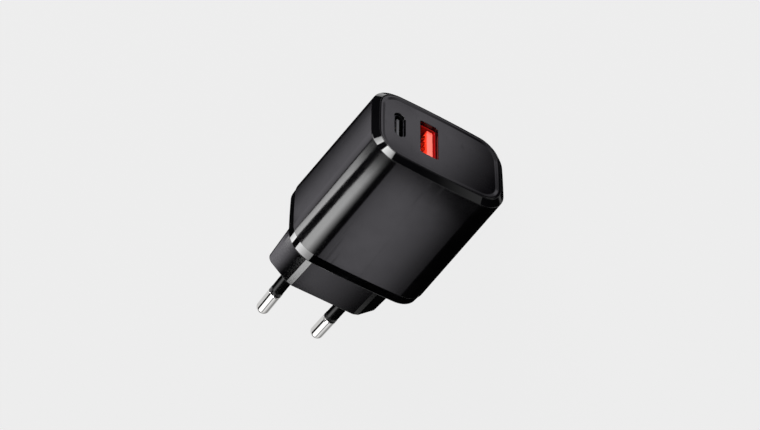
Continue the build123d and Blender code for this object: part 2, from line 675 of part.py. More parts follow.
def transformer_bobbin():
    """The bobbin: a tube round the core's middle leg, two flanges and two pin rails."""
    x, y = TRANSFORMER_AT
    low, high = CORE_BOTTOM + CORE_YOKE + CORE_GAP, CORE_TOP - CORE_YOKE - CORE_GAP
    hole_x, hole_y = CORE_LEG_HALF + CORE_GAP, CORE_HALF_Y + CORE_GAP
    tube_x, tube_y = hole_x + TUBE_WALL, hole_y + TUBE_WALL
    flange_x = CORE_HALF_X - CORE_YOKE - CORE_GAP
    body = cuboid((x - tube_x, x + tube_x), (y - tube_y, y + tube_y), (low, high))
    for z in ((low, low + FLANGE_THICKNESS), (high - FLANGE_THICKNESS, high)):
        body = body + cuboid((x - flange_x, x + flange_x), (y - FLANGE_HALF_Y, y + FLANGE_HALF_Y), z)
    for side in (-1, 1):
        rail_y = sorted((y + side * FLANGE_HALF_Y, y + side * (FLANGE_HALF_Y - RAIL_DEPTH)))
        body = body + cuboid((x - 5, x + 5), rail_y, (BOARD_TOP, low + 0.1))
    body = body - cuboid((x - hole_x, x + hole_x), (y - hole_y, y + hole_y), (low - 1, high + 1))
    for px, py in lead_points()["transformer"]:
        body = body - rod(LEAD_RADIUS, (px, py, BOARD_TOP - 1), (px, py, BOARD_TOP + 2))
    return body


def wound_form(grow):
    """The rounded form of the transformer's winding, or of the tape round it."""
    x, y = TRANSFORMER_AT
    low = CORE_BOTTOM + CORE_YOKE + CORE_GAP + FLANGE_THICKNESS
    high = CORE_TOP - CORE_YOKE - CORE_GAP - FLANGE_THICKNESS
    outline = RectangleRounded(2 * (WINDING_HALF[0] + grow), 2 * (WINDING_HALF[1] + grow), 2.5 + grow)
    return extrude(Pos(x, y, low) * outline, amount=high - low)


def transformer_winding():
    """All the windings as one coil on the bobbin's tube."""
    x, y = TRANSFORMER_AT
    tube_x = CORE_LEG_HALF + CORE_GAP + TUBE_WALL
    tube_y = CORE_HALF_Y + CORE_GAP + TUBE_WALL
    return wound_form(0) - cuboid((x - tube_x, x + tube_x), (y - tube_y, y + tube_y), (-20, 20))


def transformer_tape():
    """The insulating tape wrapped round the windings."""
    return wound_form(TAPE_THICKNESS) - wound_form(0)


def thermal_pad():
    """A soft pad between the transformer's core and the sleeve's wide wall."""
    x, y = TRANSFORMER_AT
    pad = cuboid((x - 6.5, x + 6.5), (y - CORE_HALF_Y, y + CORE_HALF_Y), (CORE_TOP, 15))
    return pad & case_form(Y_BAND + 1, Y_BEVEL - 1, WALL)


def insulation_sheet():
    """A plastic film under the main board, lying on the sleeve's floor ribs."""
    sheet = cuboid((-13.2, 13.2), (-53.5, -24.2), SHEET_Z)
    return fillet(sheet.edges().filter_by(Axis.Z), 2)


def ceramic_disc():
    """The safety capacitor: a flat dipped disc on edge."""
    x, y = DISC_AT
    middle = BOARD_TOP + 5.2
    return rod(3.7, (x, y - 1.3, middle), (x, y + 1.3, middle))


def disc_leads():
    """The disc's two wires, which end against its edge."""
    x, y = DISC_AT
    disc = ceramic_disc()
    return [lead - disc for lead in leads(lead_points()["disc"], BOARD_TOP + 4)]


def small_chips(places, size):
    """A row of small ceramic parts under the main board."""
    length, width, height = size
    return [cuboid((x - length / 2, x + length / 2), (y - width / 2, y + width / 2),
                   (BOARD_BOTTOM - height, BOARD_BOTTOM)) for x, y in places]


def protocol_ic():
    """The flat charging-protocol chip on the back of the port board."""
    body = cuboid((2.0, 6.0), (Y_PORT_BOARD[1], Y_PORT_BOARD[1] + 0.85), (6.6, 10.6))
    return chamfer(body.faces().sort_by(Axis.Y)[-1].edges(), 0.15)


def snubber_diode():
    """A moulded diode on top of the main board, beside the transformer."""
    return cuboid((-14.1, -9.9), (-46.8, -44.4), (BOARD_TOP, BOARD_TOP + 2.0))


# ---------------------------------------------------------------- the nodes
RESISTORS_AT = [(-14 + 2.6 * i, -34.0) for i in range(4)] + [(-1 + 2.6 * i, -55.6) for i in range(4)]
CERAMICS_AT = [(-14 + 3.0 * i, -45.0) for i in range(3)] + [(6 + 3.0 * i, -49.5) for i in range(3)]
AT = lead_points()

NODES = {
    "housing_sleeve": housing_sleeve(),
    "plug_cap": plug_cap(),
    "front_bezel": front_bezel(),
    "port_panel": port_panel(),
    "live_pin": pin_place(1) * pin(),
    "neutral_pin": pin_place(-1) * pin(),
    "live_pin_sleeve": pin_place(1) * pin_sleeve(),
    "neutral_pin_sleeve": pin_place(-1) * pin_sleeve(),
    "live_contact_spring": contact_spring(1),
    "neutral_contact_spring": contact_spring(-1),
    "usb_a_housing": usb_a_housing(),
    "usb_a_shell": usb_a_shell(),
    "usb_a_contacts": usb_a_contacts(),
    "usb_c_shell": usb_c_shell(),
    "usb_c_tongue": usb_c_tongue(),
    "usb_c_contacts": usb_c_contacts(),
    "port_board": port_board(),
    "main_board": main_board(),
    "board_link_pins": link_pins(0),
    "solder_joints": solder_joints(),
    "fuse_body": standing_box(FUSE_AT, FUSE_SIZE, 1.2),
    "fuse_leads": leads(AT["fuse"], BOARD_TOP),
    "film_capacitor": standing_box(FILM_AT, FILM_SIZE, 0.4),
    "film_capacitor_leads": leads(AT["film"], BOARD_TOP),
    "filter_inductor_core": inductor_core(),
    "filter_inductor_winding": inductor_winding(),
    "filter_inductor_leads": leads(AT["inductor"], BOARD_TOP + 0.8),
    "bridge_rectifier": chip(-2.0, -25.6, 4.8, 3.8, 1.5, 2),
    "input_capacitor_cans": [round_can(at, INPUT_CAP_RADIUS, INPUT_CAP_HEIGHT, 0.4) for at in INPUT_CAPS_AT],
    "input_capacitor_jackets": jackets(),
    "input_capacitor_bungs": bungs(INPUT_CAPS_AT, INPUT_CAP_RADIUS, 0.4),
    "input_capacitor_leads": leads(AT["input"], BOARD_TOP + 1.4),
    "transformer_core": transformer_core(),
    "transformer_bobbin": transformer_bobbin(),
    "transformer_winding": transformer_winding(),
    "transformer_tape": transformer_tape(),
    "transformer_pins": leads(AT["transformer"], BOARD_TOP + 2),
    "y_capacitor": ceramic_disc(),
    "y_capacitor_leads": disc_leads(),
    "optocoupler": chip(4.4, -36.7, 4.4, 3.8, 1.8, 2),
    "power_switch_ic": chip(-8.2, -37.5, 4.9, 3.9, 1.5, 4),
    "rectifier_ic": chip(2.5, -51.5, 4.9, 3.9, 1.5, 4),
    "protocol_ic": protocol_ic(),
    "snubber_diode": snubber_diode(),
    "chip_resistors": small_chips(RESISTORS_AT, (1.6, 0.8, 0.5)),
    "chip_capacitors": small_chips(CERAMICS_AT, (2.0, 1.25, 1.2)),
    "output_capacitor_cans": [round_can(at, OUTPUT_CAP_RADIUS, OUTPUT_CAP_HEIGHT, 0.4) for at in OUTPUT_CAPS_AT],
    "output_capacitor_bungs": bungs(OUTPUT_CAPS_AT, OUTPUT_CAP_RADIUS, 0.4),
    "output_capacitor_leads": leads(AT["output"], BOARD_TOP + 1.4),
    "insulation_sheet": insulation_sheet(),
    "thermal_pad": thermal_pad(),
}

for name, shape in NODES.items():
    solids = shape if isinstance(shape, list) else [shape]
    pieces = [solid for item in solids for solid in item.solids()]
    node = pieces[0] if len(pieces) == 1 else Compound(children=pieces)
    export_step(node, f"parts/{name}.step")
    print(f"{name}: {len(pieces)} solids, {sum(p.volume for p in pieces):.1f} mm3")
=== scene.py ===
import math

import bpy
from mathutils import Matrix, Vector
from mathutils.geometry import tessellate_polygon


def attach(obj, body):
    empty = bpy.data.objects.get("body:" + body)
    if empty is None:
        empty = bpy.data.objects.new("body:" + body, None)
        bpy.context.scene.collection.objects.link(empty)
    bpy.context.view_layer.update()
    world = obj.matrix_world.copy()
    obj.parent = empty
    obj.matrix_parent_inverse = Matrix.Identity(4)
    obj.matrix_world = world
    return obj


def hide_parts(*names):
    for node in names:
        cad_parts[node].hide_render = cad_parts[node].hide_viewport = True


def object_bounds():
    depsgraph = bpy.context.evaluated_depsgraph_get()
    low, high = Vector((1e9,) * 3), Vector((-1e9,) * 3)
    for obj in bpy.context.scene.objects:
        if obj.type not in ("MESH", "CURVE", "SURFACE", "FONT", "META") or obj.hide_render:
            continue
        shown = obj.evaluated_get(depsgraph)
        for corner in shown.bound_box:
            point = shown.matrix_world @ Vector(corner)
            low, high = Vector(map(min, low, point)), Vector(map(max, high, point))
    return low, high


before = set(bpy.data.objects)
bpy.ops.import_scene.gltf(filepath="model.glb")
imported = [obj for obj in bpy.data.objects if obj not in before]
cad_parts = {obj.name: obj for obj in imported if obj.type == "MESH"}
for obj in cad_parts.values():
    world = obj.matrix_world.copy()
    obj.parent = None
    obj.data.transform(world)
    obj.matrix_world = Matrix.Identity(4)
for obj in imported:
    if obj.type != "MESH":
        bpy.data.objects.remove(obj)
cad_low, cad_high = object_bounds()

# ---------------------------------------------------------------- table top and camera
# The charger lies on a plain pale table top, on one wide side. The top glows a little, so it
# stays an even pale grey, and it keeps out of the reflections.
TABLE_SIZE = 6.0
TABLE_GLOW = 0.835
TABLE_COLOUR = (0.03, 0.03, 0.03, 1)

table_mesh = bpy.data.meshes.new("table_top")
half_table = TABLE_SIZE / 2
table_mesh.from_pydata(
    [(-half_table, -half_table, 0), (half_table, -half_table, 0),
     (half_table, half_table, 0), (-half_table, half_table, 0)],
    [], [(0, 1, 2, 3)])
table_top = bpy.data.objects.new("table_top", table_mesh)
table_top.location.z = cad_low.z
table_top.visible_glossy = False
bpy.context.scene.collection.objects.link(table_top)

table_paint = bpy.data.materials.new("table_paint")
table_paint.use_nodes = True
table_shader = table_paint.node_tree.nodes["Principled BSDF"]
table_shader.inputs["Base Color"].default_value = TABLE_COLOUR
table_shader.inputs["Roughness"].default_value = 1.0
table_shader.inputs["Specular IOR Level"].default_value = 0.0
table_shader.inputs["Emission Color"].default_value = (1, 1, 1, 1)
table_shader.inputs["Emission Strength"].default_value = TABLE_GLOW
table_mesh.materials.append(table_paint)

camera_data = bpy.data.cameras.new("camera")
camera_data.lens = 100.447
camera_data.sensor_width = 36.0
camera = bpy.data.objects.new("camera", camera_data)
camera.location = (0.2059, -0.35526, 0.4331)
camera.rotation_euler = [math.radians(turn) for turn in (-41.605, 0.525, -147.099)]
bpy.context.scene.collection.objects.link(camera)
bpy.context.scene.camera = camera
bpy.context.scene.view_settings.view_transform = "Standard"

# ---------------------------------------------------------------- room and lights
# A dim room round a pale table. Curved cloth soft boxes stand round the charger and show only as
# reflections in its black plastic and its pins. One soft lamp in front lights the red in the port.
ROOM_SEEN = 0.863
ROOM_FILL = 0.14
ROOM_MIRRORED = 0.003

room = bpy.data.worlds.new("room")
bpy.context.scene.world = room
room.use_nodes = True
room_nodes = room.node_tree.nodes
room_links = room.node_tree.links
room_nodes.clear()
room_output = room_nodes.new("ShaderNodeOutputWorld")
ray_kind = room_nodes.new("ShaderNodeLightPath")
backdrop_glow = room_nodes.new("ShaderNodeBackground")
backdrop_glow.inputs["Strength"].default_value = ROOM_SEEN
fill_glow = room_nodes.new("ShaderNodeBackground")
fill_glow.inputs["Strength"].default_value = ROOM_FILL
mirror_glow = room_nodes.new("ShaderNodeBackground")
mirror_glow.inputs["Strength"].default_value = ROOM_MIRRORED
for glow in (backdrop_glow, fill_glow, mirror_glow):
    glow.inputs["Color"].default_value = (1, 1, 1, 1)
fill_or_mirror = room_nodes.new("ShaderNodeMixShader")
seen_or_not = room_nodes.new("ShaderNodeMixShader")
room_links.new(ray_kind.outputs["Is Glossy Ray"], fill_or_mirror.inputs["Fac"])
room_links.new(fill_glow.outputs[0], fill_or_mirror.inputs[1])
room_links.new(mirror_glow.outputs[0], fill_or_mirror.inputs[2])
room_links.new(ray_kind.outputs["Is Camera Ray"], seen_or_not.inputs["Fac"])
room_links.new(fill_or_mirror.outputs[0], seen_or_not.inputs[1])
room_links.new(backdrop_glow.outputs[0], seen_or_not.inputs[2])
room_links.new(seen_or_not.outputs[0], room_output.inputs["Surface"])

glow_paint = bpy.data.materials.new("soft_box_cloth")
glow_paint.use_nodes = True
glow_paint.node_tree.nodes.clear()
cloth_output = glow_paint.node_tree.nodes.new("ShaderNodeOutputMaterial")
cloth_glow = glow_paint.node_tree.nodes.new("ShaderNodeEmission")
cloth_light = glow_paint.node_tree.nodes.new("ShaderNodeAttribute")
cloth_light.attribute_name = "light"
glow_paint.node_tree.links.new(cloth_light.outputs["Color"], cloth_glow.inputs["Color"])
glow_paint.node_tree.links.new(cloth_glow.outputs[0], cloth_output.inputs["Surface"])


def between(stops, at):
    """The value at a place on a line of (place, value) stops."""
    if at <= stops[0][0]:
        return stops[0][1]
    for (a, low), (b, high) in zip(stops, stops[1:]):
        if at <= b:
            return low + (high - low) * (at - a) / (b - a)
    return stops[-1][1]


STATIONS_A_SPAN = 24
FEWEST_STEPS = 40
DEGREES_A_STEP = 2
WHITE = (1, 1, 1)
COOL = (0.98, 0.95, 1.03)


def soft_box(name, distance, edges, glow, along=(), tint=WHITE, centre_x=0.0):
    """A curved soft box round the Y axis, or round a line beside it. edges gives its (Y in metres,
    first degree, last degree), glow its brightness at shares of its width, and along, where it isn't
    even, shares of that brightness at places on Y."""
    stations = [place for place, _ in along if edges[0][0] < place < edges[-1][0]]
    for (a, *_), (b, *_) in zip(edges, edges[1:]):
        stations += [a + (b - a) * step / STATIONS_A_SPAN for step in range(STATIONS_A_SPAN)]
    stations = sorted(set(stations + [edges[-1][0]]))
    widest = max(end - start for _, start, end in edges)
    steps = max(FEWEST_STEPS, int(widest / DEGREES_A_STEP))
    points = []
    light = []
    for y in stations:
        first = between([(place, start) for place, start, _ in edges], y)
        last = between([(place, end) for place, _, end in edges], y)
        dimming = between(along, y) if along else 1.0
        for step in range(steps + 1):
            share = step / steps
            angle = math.radians(first + (last - first) * share)
            points.append((centre_x + distance * math.cos(angle), y, distance * math.sin(angle)))
            strength = between(glow, share) * dimming
            light += [strength * part for part in tint] + [1.0]
    wide = steps + 1
    faces = [(row * wide + i, row * wide + i + 1, (row + 1) * wide + i + 1, (row + 1) * wide + i)
             for row in range(len(stations) - 1) for i in range(steps)]
    mesh = bpy.data.meshes.new(name)
    mesh.from_pydata(points, [], faces)
    mesh.color_attributes.new("light", "FLOAT_COLOR", "POINT").data.foreach_set("color", light)
    mesh.materials.append(glow_paint)
    box = bpy.data.objects.new(name, mesh)
    box.visible_camera = False
    box.visible_diffuse = False
    box.visible_shadow = False
    box.visible_transmission = False
    bpy.context.scene.collection.objects.link(box)


FAR = 1.2
NEAR = 0.13

# two boxes in front draw the bright marks on the frame's bevel
soft_box("narrow_box_front", FAR, [(-5, -29, -6), (0.2, -29, -6)], [(0, 7), (1, 14.5)])
soft_box("wide_box_front", FAR, [(-5, 21, 92), (-1.45, 21, 92)],
         [(0, 20), (0.4, 15), (0.75, 11), (1, 5)],
         [(-5, 1), (-1.75, 1), (-1.45, 0)])

# boxes alongside draw the bright lines down the near corner, the band and the plug block's facet
soft_box("narrow_box_side", NEAR,
         [(0.0, -9, 19), (0.02, -13, 14), (0.05, -16, 3.5), (0.062, -20, 2), (0.074, -23, 0),
          (0.088, -23, 0)],
         [(0, 7), (1, 14.5)],
         [(0.0, 0), (0.017, 0), (0.025, 1), (0.084, 1), (0.088, 0)])
soft_box("wide_box_side", NEAR,
         [(0.0, 47, 80), (0.02, 40, 80), (0.034, 34, 80), (0.046, 31.5, 80), (0.06, 29.5, 80),
          (0.071, 29, 80)],
         [(0, 15), (0.46, 16.5), (0.73, 7.0), (0.93, 1.6), (1, 0.6)],
         [(0.0, 0), (0.019, 0), (0.0225, 1), (0.071, 1)])
soft_box("wide_box_band", NEAR, [(0.071, 22, 86), (0.088, 22, 86)],
         [(0, 14), (0.16, 13.9), (0.33, 11.6), (0.52, 9.1), (0.7, 6.2), (1, 3.6)])
soft_box("wide_box_block", NEAR, [(0.088, 56, 90), (0.114, 56, 90)], [(0, 8.3), (1, 8.3)])

# weak bounces shade the broad faces
soft_box("side_bounce", NEAR, [(0.0, -62, -17), (0.075, -62, -24)],
         [(0, 0), (0.04, 0.1), (0.067, 0.33), (0.11, 0.6), (0.24, 0.8), (0.44, 1.05),
          (0.71, 1.35), (1, 1.4)],
         [(0.0, 1.3), (0.0185, 1.3), (0.022, 1.05), (0.04, 0.98), (0.069, 1), (0.071, 0),
          (0.075, 0)], COOL)
soft_box("top_bounce", NEAR, [(0.0, 100, 127), (0.075, 100, 127)],
         [(0, 0.2), (0.12, 2.6), (0.22, 3.2), (0.37, 3.4), (0.52, 2.8), (0.70, 1.9), (0.78, 1.0),
          (0.86, 0.3), (1, 0)],
         [(0.0, 0), (0.0205, 0), (0.0232, 0.95), (0.03, 1), (0.069, 1), (0.071, 0), (0.075, 0)], COOL)
soft_box("block_side_bounce", NEAR, [(0.088, -60, 14), (0.114, -60, 14)],
         [(0, 0.7), (0.7, 2.0), (0.79, 2.0), (0.87, 1.2), (0.93, 0.45), (1, 0)], tint=COOL)
soft_box("block_bounce", NEAR, [(0.088, 107, 123), (0.118, 107, 123)],
         [(0, 0), (0.1, 0), (0.26, 1.1), (0.42, 1.15), (0.53, 0.9), (0.61, 0.75), (0.7, 0.6),
          (0.82, 0.2), (0.9, 0), (1, 0)], tint=COOL)
soft_box("panel_bounce_far", NEAR, [(-0.30, -134, -109), (-0.08, -134, -109)],
         [(0, 0), (0.37, 0), (0.5, 0.25), (0.64, 0.7), (0.77, 1.0), (1, 1.05)],
         [(-0.30, 0.8), (-0.19, 0.8), (-0.172, 0.4), (-0.152, 0.25), (-0.1495, 1), (-0.131, 1),
          (-0.127, 0.35), (-0.08, 0.35)], COOL)
soft_box("panel_bounce_near", NEAR, [(-0.30, -109, -92), (-0.08, -109, -92)],
         [(0, 1.05), (1, 0.95)],
         [(-0.30, 0.75), (-0.16, 0.75), (-0.152, 1), (-0.137, 1), (-0.131, 0.3), (-0.08, 0.3)], COOL)
soft_box("bevel_bounce", NEAR, [(-0.5, 124, 142), (-0.12, 124, 142)],
         [(0, 0), (0.3, 0.05), (0.5, 0.25), (0.75, 0.5), (1, 0.62)])
soft_box("foot_bounce", NEAR, [(-0.10, -104, -76), (-0.03, -104, -76)], [(0, 1.0), (1, 1.0)])

# pale screens further off give the back, the far side, the top and the port face a sheen
soft_box("screen_above_rear", FAR, [(-1.25, 22, 134), (-0.3, 22, 134)],
         [(0, 0), (0.2, 1.3), (0.5, 1.7), (0.8, 0.9), (1, 0)],
         [(-1.25, 0), (-1.05, 1), (-0.5, 0.8), (-0.3, 0)])
soft_box("screen_above_front", FAR, [(1.0, 128, 178), (3.2, 128, 178)],
         [(0, 0), (0.4, 0.9), (0.8, 0.7), (1, 0.2)],
         [(1.0, 0.4), (1.2, 1), (2.4, 0.7), (3.2, 0)])
soft_box("screen_far_side_front", FAR, [(-2.4, -177, -133), (-0.72, -177, -133)],
         [(0, 0.3), (0.3, 1.4), (0.7, 1.1), (1, 0)],
         [(-2.4, 0), (-1.6, 0.9), (-1.0, 1), (-0.72, 0)])
soft_box("screen_far_side_rear", FAR, [(1.0, -178, -133), (3.2, -178, -133)],
         [(0, 0.3), (0.4, 1.2), (1, 0.2)],
         [(1.0, 0.2), (1.3, 1), (2.4, 0.7), (3.2, 0)])
soft_box("screen_overhead", FAR, [(-0.28, 35, 140), (0.62, 35, 140)],
         [(0, 0.2), (0.35, 1.6), (0.6, 2.0), (1, 0.3)],
         [(-0.28, 0), (-0.15, 1), (0.3, 1), (0.62, 0)])
soft_box("screen_beside", FAR, [(-0.28, 142, 216), (0.55, 142, 216)],
         [(0, 0.2), (0.4, 1.3), (0.7, 1.6), (1, 0.3)],
         [(-0.28, 0), (-0.15, 0.7), (0.25, 1), (0.55, 0)])
soft_box("screen_below_rear", FAR, [(1.35, -133, -50), (5.0, -133, -50)],
         [(0, 0.4), (0.5, 1.2), (1, 0.1)],
         [(1.35, 0.2), (1.6, 1), (3.5, 0.7), (5.0, 0)])

# small rings of cloth stand close round the pins. Their dark gaps draw the lines on the bare metal,
# and one soft glow marks each black sleeve
PIN_RING = 0.009
PIN_RING_X = 0.0093
for side, centre_x in (("live", PIN_RING_X), ("neutral", -PIN_RING_X)):
    soft_box(side + "_sleeve_ring", PIN_RING, [(0.0052, -110, 240), (0.0158, -110, 240)],
             [(0, 0), (0.30, 0), (0.37, 1.7), (0.405, 2.3), (0.44, 1.1), (0.475, 0), (1, 0)],
             centre_x=centre_x)
    soft_box(side + "_metal_ring", PIN_RING, [(0.0165, -110, 240), (0.06, -110, 240)],
             [(0, 0.8), (0.2, 0.85), (0.325, 0.9), (0.33, 0.01), (0.405, 0.01), (0.41, 1.7),
              (0.565, 1.7), (0.575, 0.3), (0.61, 0.3), (0.615, 1.05), (0.675, 1.0), (0.685, 0.68),
              (0.74, 0.6), (0.75, 0.28), (0.815, 0.3), (0.85, 0.7), (1, 0.5)],
             centre_x=centre_x)

front_lamp_data = bpy.data.lights.new("front_lamp", "AREA")
front_lamp_data.size = 0.5
front_lamp_data.energy = 46.0
front_lamp = bpy.data.objects.new("front_lamp", front_lamp_data)
front_lamp.location = (0.85, -0.90, 0.10)
port_face = Vector((0, -0.06, 0))
front_lamp.rotation_euler = (port_face - front_lamp.location).to_track_quat("-Z", "Y").to_euler()
front_lamp.visible_glossy = False
bpy.context.scene.collection.objects.link(front_lamp)

# ---------------------------------------------------------------- main sleeve
# One moulding in satin black polycarbonate, open at both ends. Its wide sides are crowned, and
# its rebated ends take the tongues of the plug cap and the front frame, which click in.
# Sizes are in millimetres from here on, and MM turns them into Blender's metres.
MM = 0.001
REAR_HALF = (21.3, 15.2)
FRONT_HALF = (21.05, 14.2)
NARROW_CROWN = 0.3
WIDE_CROWN = 0.7
CORNER_RADIUS = 8.5
Y_BAND = -19.5
Y_BEVEL = -58.05
SLEEVE_WALL = 1.75
SLEEVE_LIP = 0.95
TONGUE_LENGTH = 3.95
SLEEVE_EDGE = 0.09
NARROW_STEPS = 8
CORNER_STEPS = 28
WIDE_STEPS = 12


def arc_through_end(half_span, rise):
    """The radius of a shallow arc, from half its span and its rise."""
    return (half_span ** 2 + rise ** 2) / (2 * rise)


def case_outline(half_x, half_z, radius):
    """Points and outward normals round the case's crowned outline, at matching angles each time."""
    wide = arc_through_end(half_x - NARROW_CROWN, WIDE_CROWN)
    narrow = arc_through_end(half_z - WIDE_CROWN, NARROW_CROWN)
    wide_centre = Vector((0, half_z - wide))
    narrow_centre = Vector((half_x - narrow, 0))
    # the corner's centre is where both faces' arcs, moved in by the radius, cross
    apart = (narrow_centre - wide_centre).length
    reach_a = wide - radius
    reach_b = narrow - radius
    along = (reach_a ** 2 - reach_b ** 2 + apart ** 2) / (2 * apart)
    aside = math.sqrt(max(reach_a ** 2 - along ** 2, 0))
    way = (narrow_centre - wide_centre) / apart
    corner = wide_centre + way * along + Vector((-way.y, way.x)) * aside
    if corner.x < 0 or corner.y < 0:
        corner = wide_centre + way * along - Vector((-way.y, way.x)) * aside
    low = math.atan2(corner.y - narrow_centre.y, corner.x - narrow_centre.x)
    high = math.atan2(corner.y - wide_centre.y, corner.x - wide_centre.x)
    quarter = []
    for step in range(NARROW_STEPS):
        quarter.append((narrow_centre, narrow, low * step / NARROW_STEPS))
    for step in range(CORNER_STEPS + 1):
        quarter.append((corner, radius, low + (high - low) * step / CORNER_STEPS))
    for step in range(1, WIDE_STEPS + 1):
        quarter.append((wide_centre, wide, high + (math.pi / 2 - high) * step / WIDE_STEPS))
    first = []
    for centre, reach, angle in quarter:
        normal = Vector((math.cos(angle), math.sin(angle)))
        first.append((centre + normal * reach, normal))
    whole = list(first)
    for flip, part in (((-1, 1), first[-2::-1]), ((-1, -1), first[1:]), ((1, -1), first[-2:0:-1])):
        for point, normal in part:
            whole.append((Vector((point.x * flip[0], point.y * flip[1])),
                          Vector((normal.x * flip[0], normal.y * flip[1]))))
    return whole


def case_ring(y, inset):
    """The case's outline at a station along Y, moved in by an inset."""
    share = min(max((y - Y_BAND) / (Y_BEVEL - Y_BAND), 0), 1)
    half_x = REAR_HALF[0] + (FRONT_HALF[0] - REAR_HALF[0]) * share - inset
    half_z = REAR_HALF[1] + (FRONT_HALF[1] - REAR_HALF[1]) * share - inset
    outline = case_outline(half_x, half_z, CORNER_RADIUS - inset)
    return [Vector((point.x, y, point.y)) for point, _ in outline], [normal for _, normal in outline]


def leaning(normals, degrees):
    """Outward normals leaned towards the port end: 0 faces out, 90 the ports and -90 the plug."""
    angle = math.radians(degrees)
    return [Vector((n.x * math.cos(angle), -math.sin(angle), n.y * math.cos(angle))) for n in normals]


def rounded_edge(y, inset, radius, start, end, steps=5):
    """Stations round a small edge rounding: y and inset place its centre, start and end its lean."""
    stations = []
    for step in range(steps + 1):
        lean = start + (end - start) * step / steps
        angle = math.radians(lean)
        stations.append((y - radius * math.sin(angle), inset - radius * math.cos(angle), lean, lean))
    return stations


class Skin:
    """A skin of faces in millimetres, with the true normal at each corner of each face."""

    def __init__(self):
        self.points = []
        self.faces = []
        self.normals = []

    def ring(self, points):
        start = len(self.points)
        self.points += [Vector(point) for point in points]
        return list(range(start, len(self.points)))

    def face(self, corners, normals):
        area = Vector((0, 0, 0))
        for here, after in zip(corners, corners[1:] + corners[:1]):
            area += self.points[here].cross(self.points[after])
        if area.dot(sum(normals, Vector((0, 0, 0)))) < 0:
            corners = corners[::-1]
            normals = normals[::-1]
        self.faces.append(corners)
        self.normals += normals

    def band(self, ring, normals, next_ring, next_normals):
        count = len(ring)
        for i in range(count):
            j = (i + 1) % count
            self.face([ring[i], ring[j], next_ring[j], next_ring[i]],
                      [normals[i], normals[j], next_normals[j], next_normals[i]])

    def flat(self, rings, normal):
        """A flat face: the first ring is its outline and the others are holes."""
        order = [corner for ring in rings for corner in ring]
        # the face is laid out on a plane, where the tessellator is surest
        side = Vector(normal).orthogonal().normalized()
        up = Vector(normal).cross(side)
        loops = [[Vector((self.points[i].dot(side), self.points[i].dot(up), 0)) for i in ring]
                 for ring in rings]
        for triangle in tessellate_polygon(loops):
            self.face([order[i] for i in triangle], [Vector(normal)] * 3)

    def wrap(self, stations, ring_at, closed=False):
        """Bands through stations (y, inset, lean before, lean after), from first ring to last."""
        rings = []
        for y, inset, before, after in stations:
            points, normals = ring_at(y, inset)
            rings.append((self.ring(points), leaning(normals, before), leaning(normals, after)))
        for here, there in zip(rings, rings[1:] + (rings[:1] if closed else [])):
            self.band(here[0], here[2], there[0], there[1])
        return rings[0][0], rings[-1][0]

    def piece(self, name, material, nodes):
        """The skin as an object in metres, which stands for CAD nodes and rides on the one body."""
        mesh = bpy.data.meshes.new(name)
        mesh.from_pydata([point * MM for point in self.points], [], self.faces)
        mesh.shade_smooth()
        mesh.normals_split_custom_set([normal.normalized() for normal in self.normals])
        mesh.materials.append(material)
        made = bpy.data.objects.new(name, mesh)
        bpy.context.scene.collection.objects.link(made)
        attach(made, "root")
        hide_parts(*nodes)
        return made


def new_group(name, inputs, outputs):
    """An empty shader node group with number inputs (name, default) and number outputs."""
    group = bpy.data.node_groups.new(name, "ShaderNodeTree")
    for label, default in inputs:
        socket = group.interface.new_socket(label, in_out="INPUT", socket_type="NodeSocketFloat")
        socket.default_value = default
    for label in outputs:
        group.interface.new_socket(label, in_out="OUTPUT", socket_type="NodeSocketFloat")
    return group, group.nodes.new("NodeGroupInput"), group.nodes.new("NodeGroupOutput")


def object_place(tree):
    """The place on the piece, in metres."""
    return tree.nodes.new("ShaderNodeTexCoord").outputs["Object"]


def stretched_place(tree, scale, turn=(0, 0, 0)):
    """The place on the piece, scaled along each direction, and turned."""
    mapping = tree.nodes.new("ShaderNodeMapping")
    mapping.inputs["Scale"].default_value = scale
    mapping.inputs["Rotation"].default_value = turn
    tree.links.new(object_place(tree), mapping.inputs["Vector"])
    return mapping.outputs["Vector"]


def noise_in(tree, scale, detail, place):
    """A noise texture on object coordinates. scale is a number or a socket."""
    noise = tree.nodes.new("ShaderNodeTexNoise")
    noise.inputs["Detail"].default_value = detail
    if isinstance(scale, (int, float)):
        noise.inputs["Scale"].default_value = scale
    else:
        tree.links.new(scale, noise.inputs["Scale"])
    tree.links.new(place, noise.inputs["Vector"])
    return noise.outputs["Fac"]


def spread(tree, value, low, high, start=0.35, end=0.65):
    """A value from start to end, mapped to low to high."""
    mapping = tree.nodes.new("ShaderNodeMapRange")
    tree.links.new(value, mapping.inputs["Value"])
    for label, setting in (("From Min", start), ("From Max", end), ("To Min", low), ("To Max", high)):
        mapping.inputs[label].default_value = setting
    return mapping.outputs["Result"]


def calculate(tree, operation, first, second):
    """One sum on two values, each a number or a socket."""
    node = tree.nodes.new("ShaderNodeMath")
    node.operation = operation
    for socket, value in zip(node.inputs, (first, second)):
        if isinstance(value, (int, float)):
            socket.default_value = value
        else:
            tree.links.new(value, socket)
    return node.outputs[0]


# Grain that a spark-eroded mould leaves in plastic: fine pits, and patches that are a little
# more or less polished. Height is for a bump, and Polish varies round 0.
mould_grain, grain_in, grain_out = new_group(
    "mould_grain", [("Pit Scale", 5200.0), ("Patch Scale", 260.0)], ["Height", "Polish"])
grain_place = object_place(mould_grain)
pits = noise_in(mould_grain, grain_in.outputs["Pit Scale"], 3.0, grain_place)
patches = noise_in(mould_grain, grain_in.outputs["Patch Scale"], 4.0, grain_place)
mould_grain.links.new(pits, grain_out.inputs["Height"])
mould_grain.links.new(spread(mould_grain, patches, -1.0, 1.0), grain_out.inputs["Polish"])

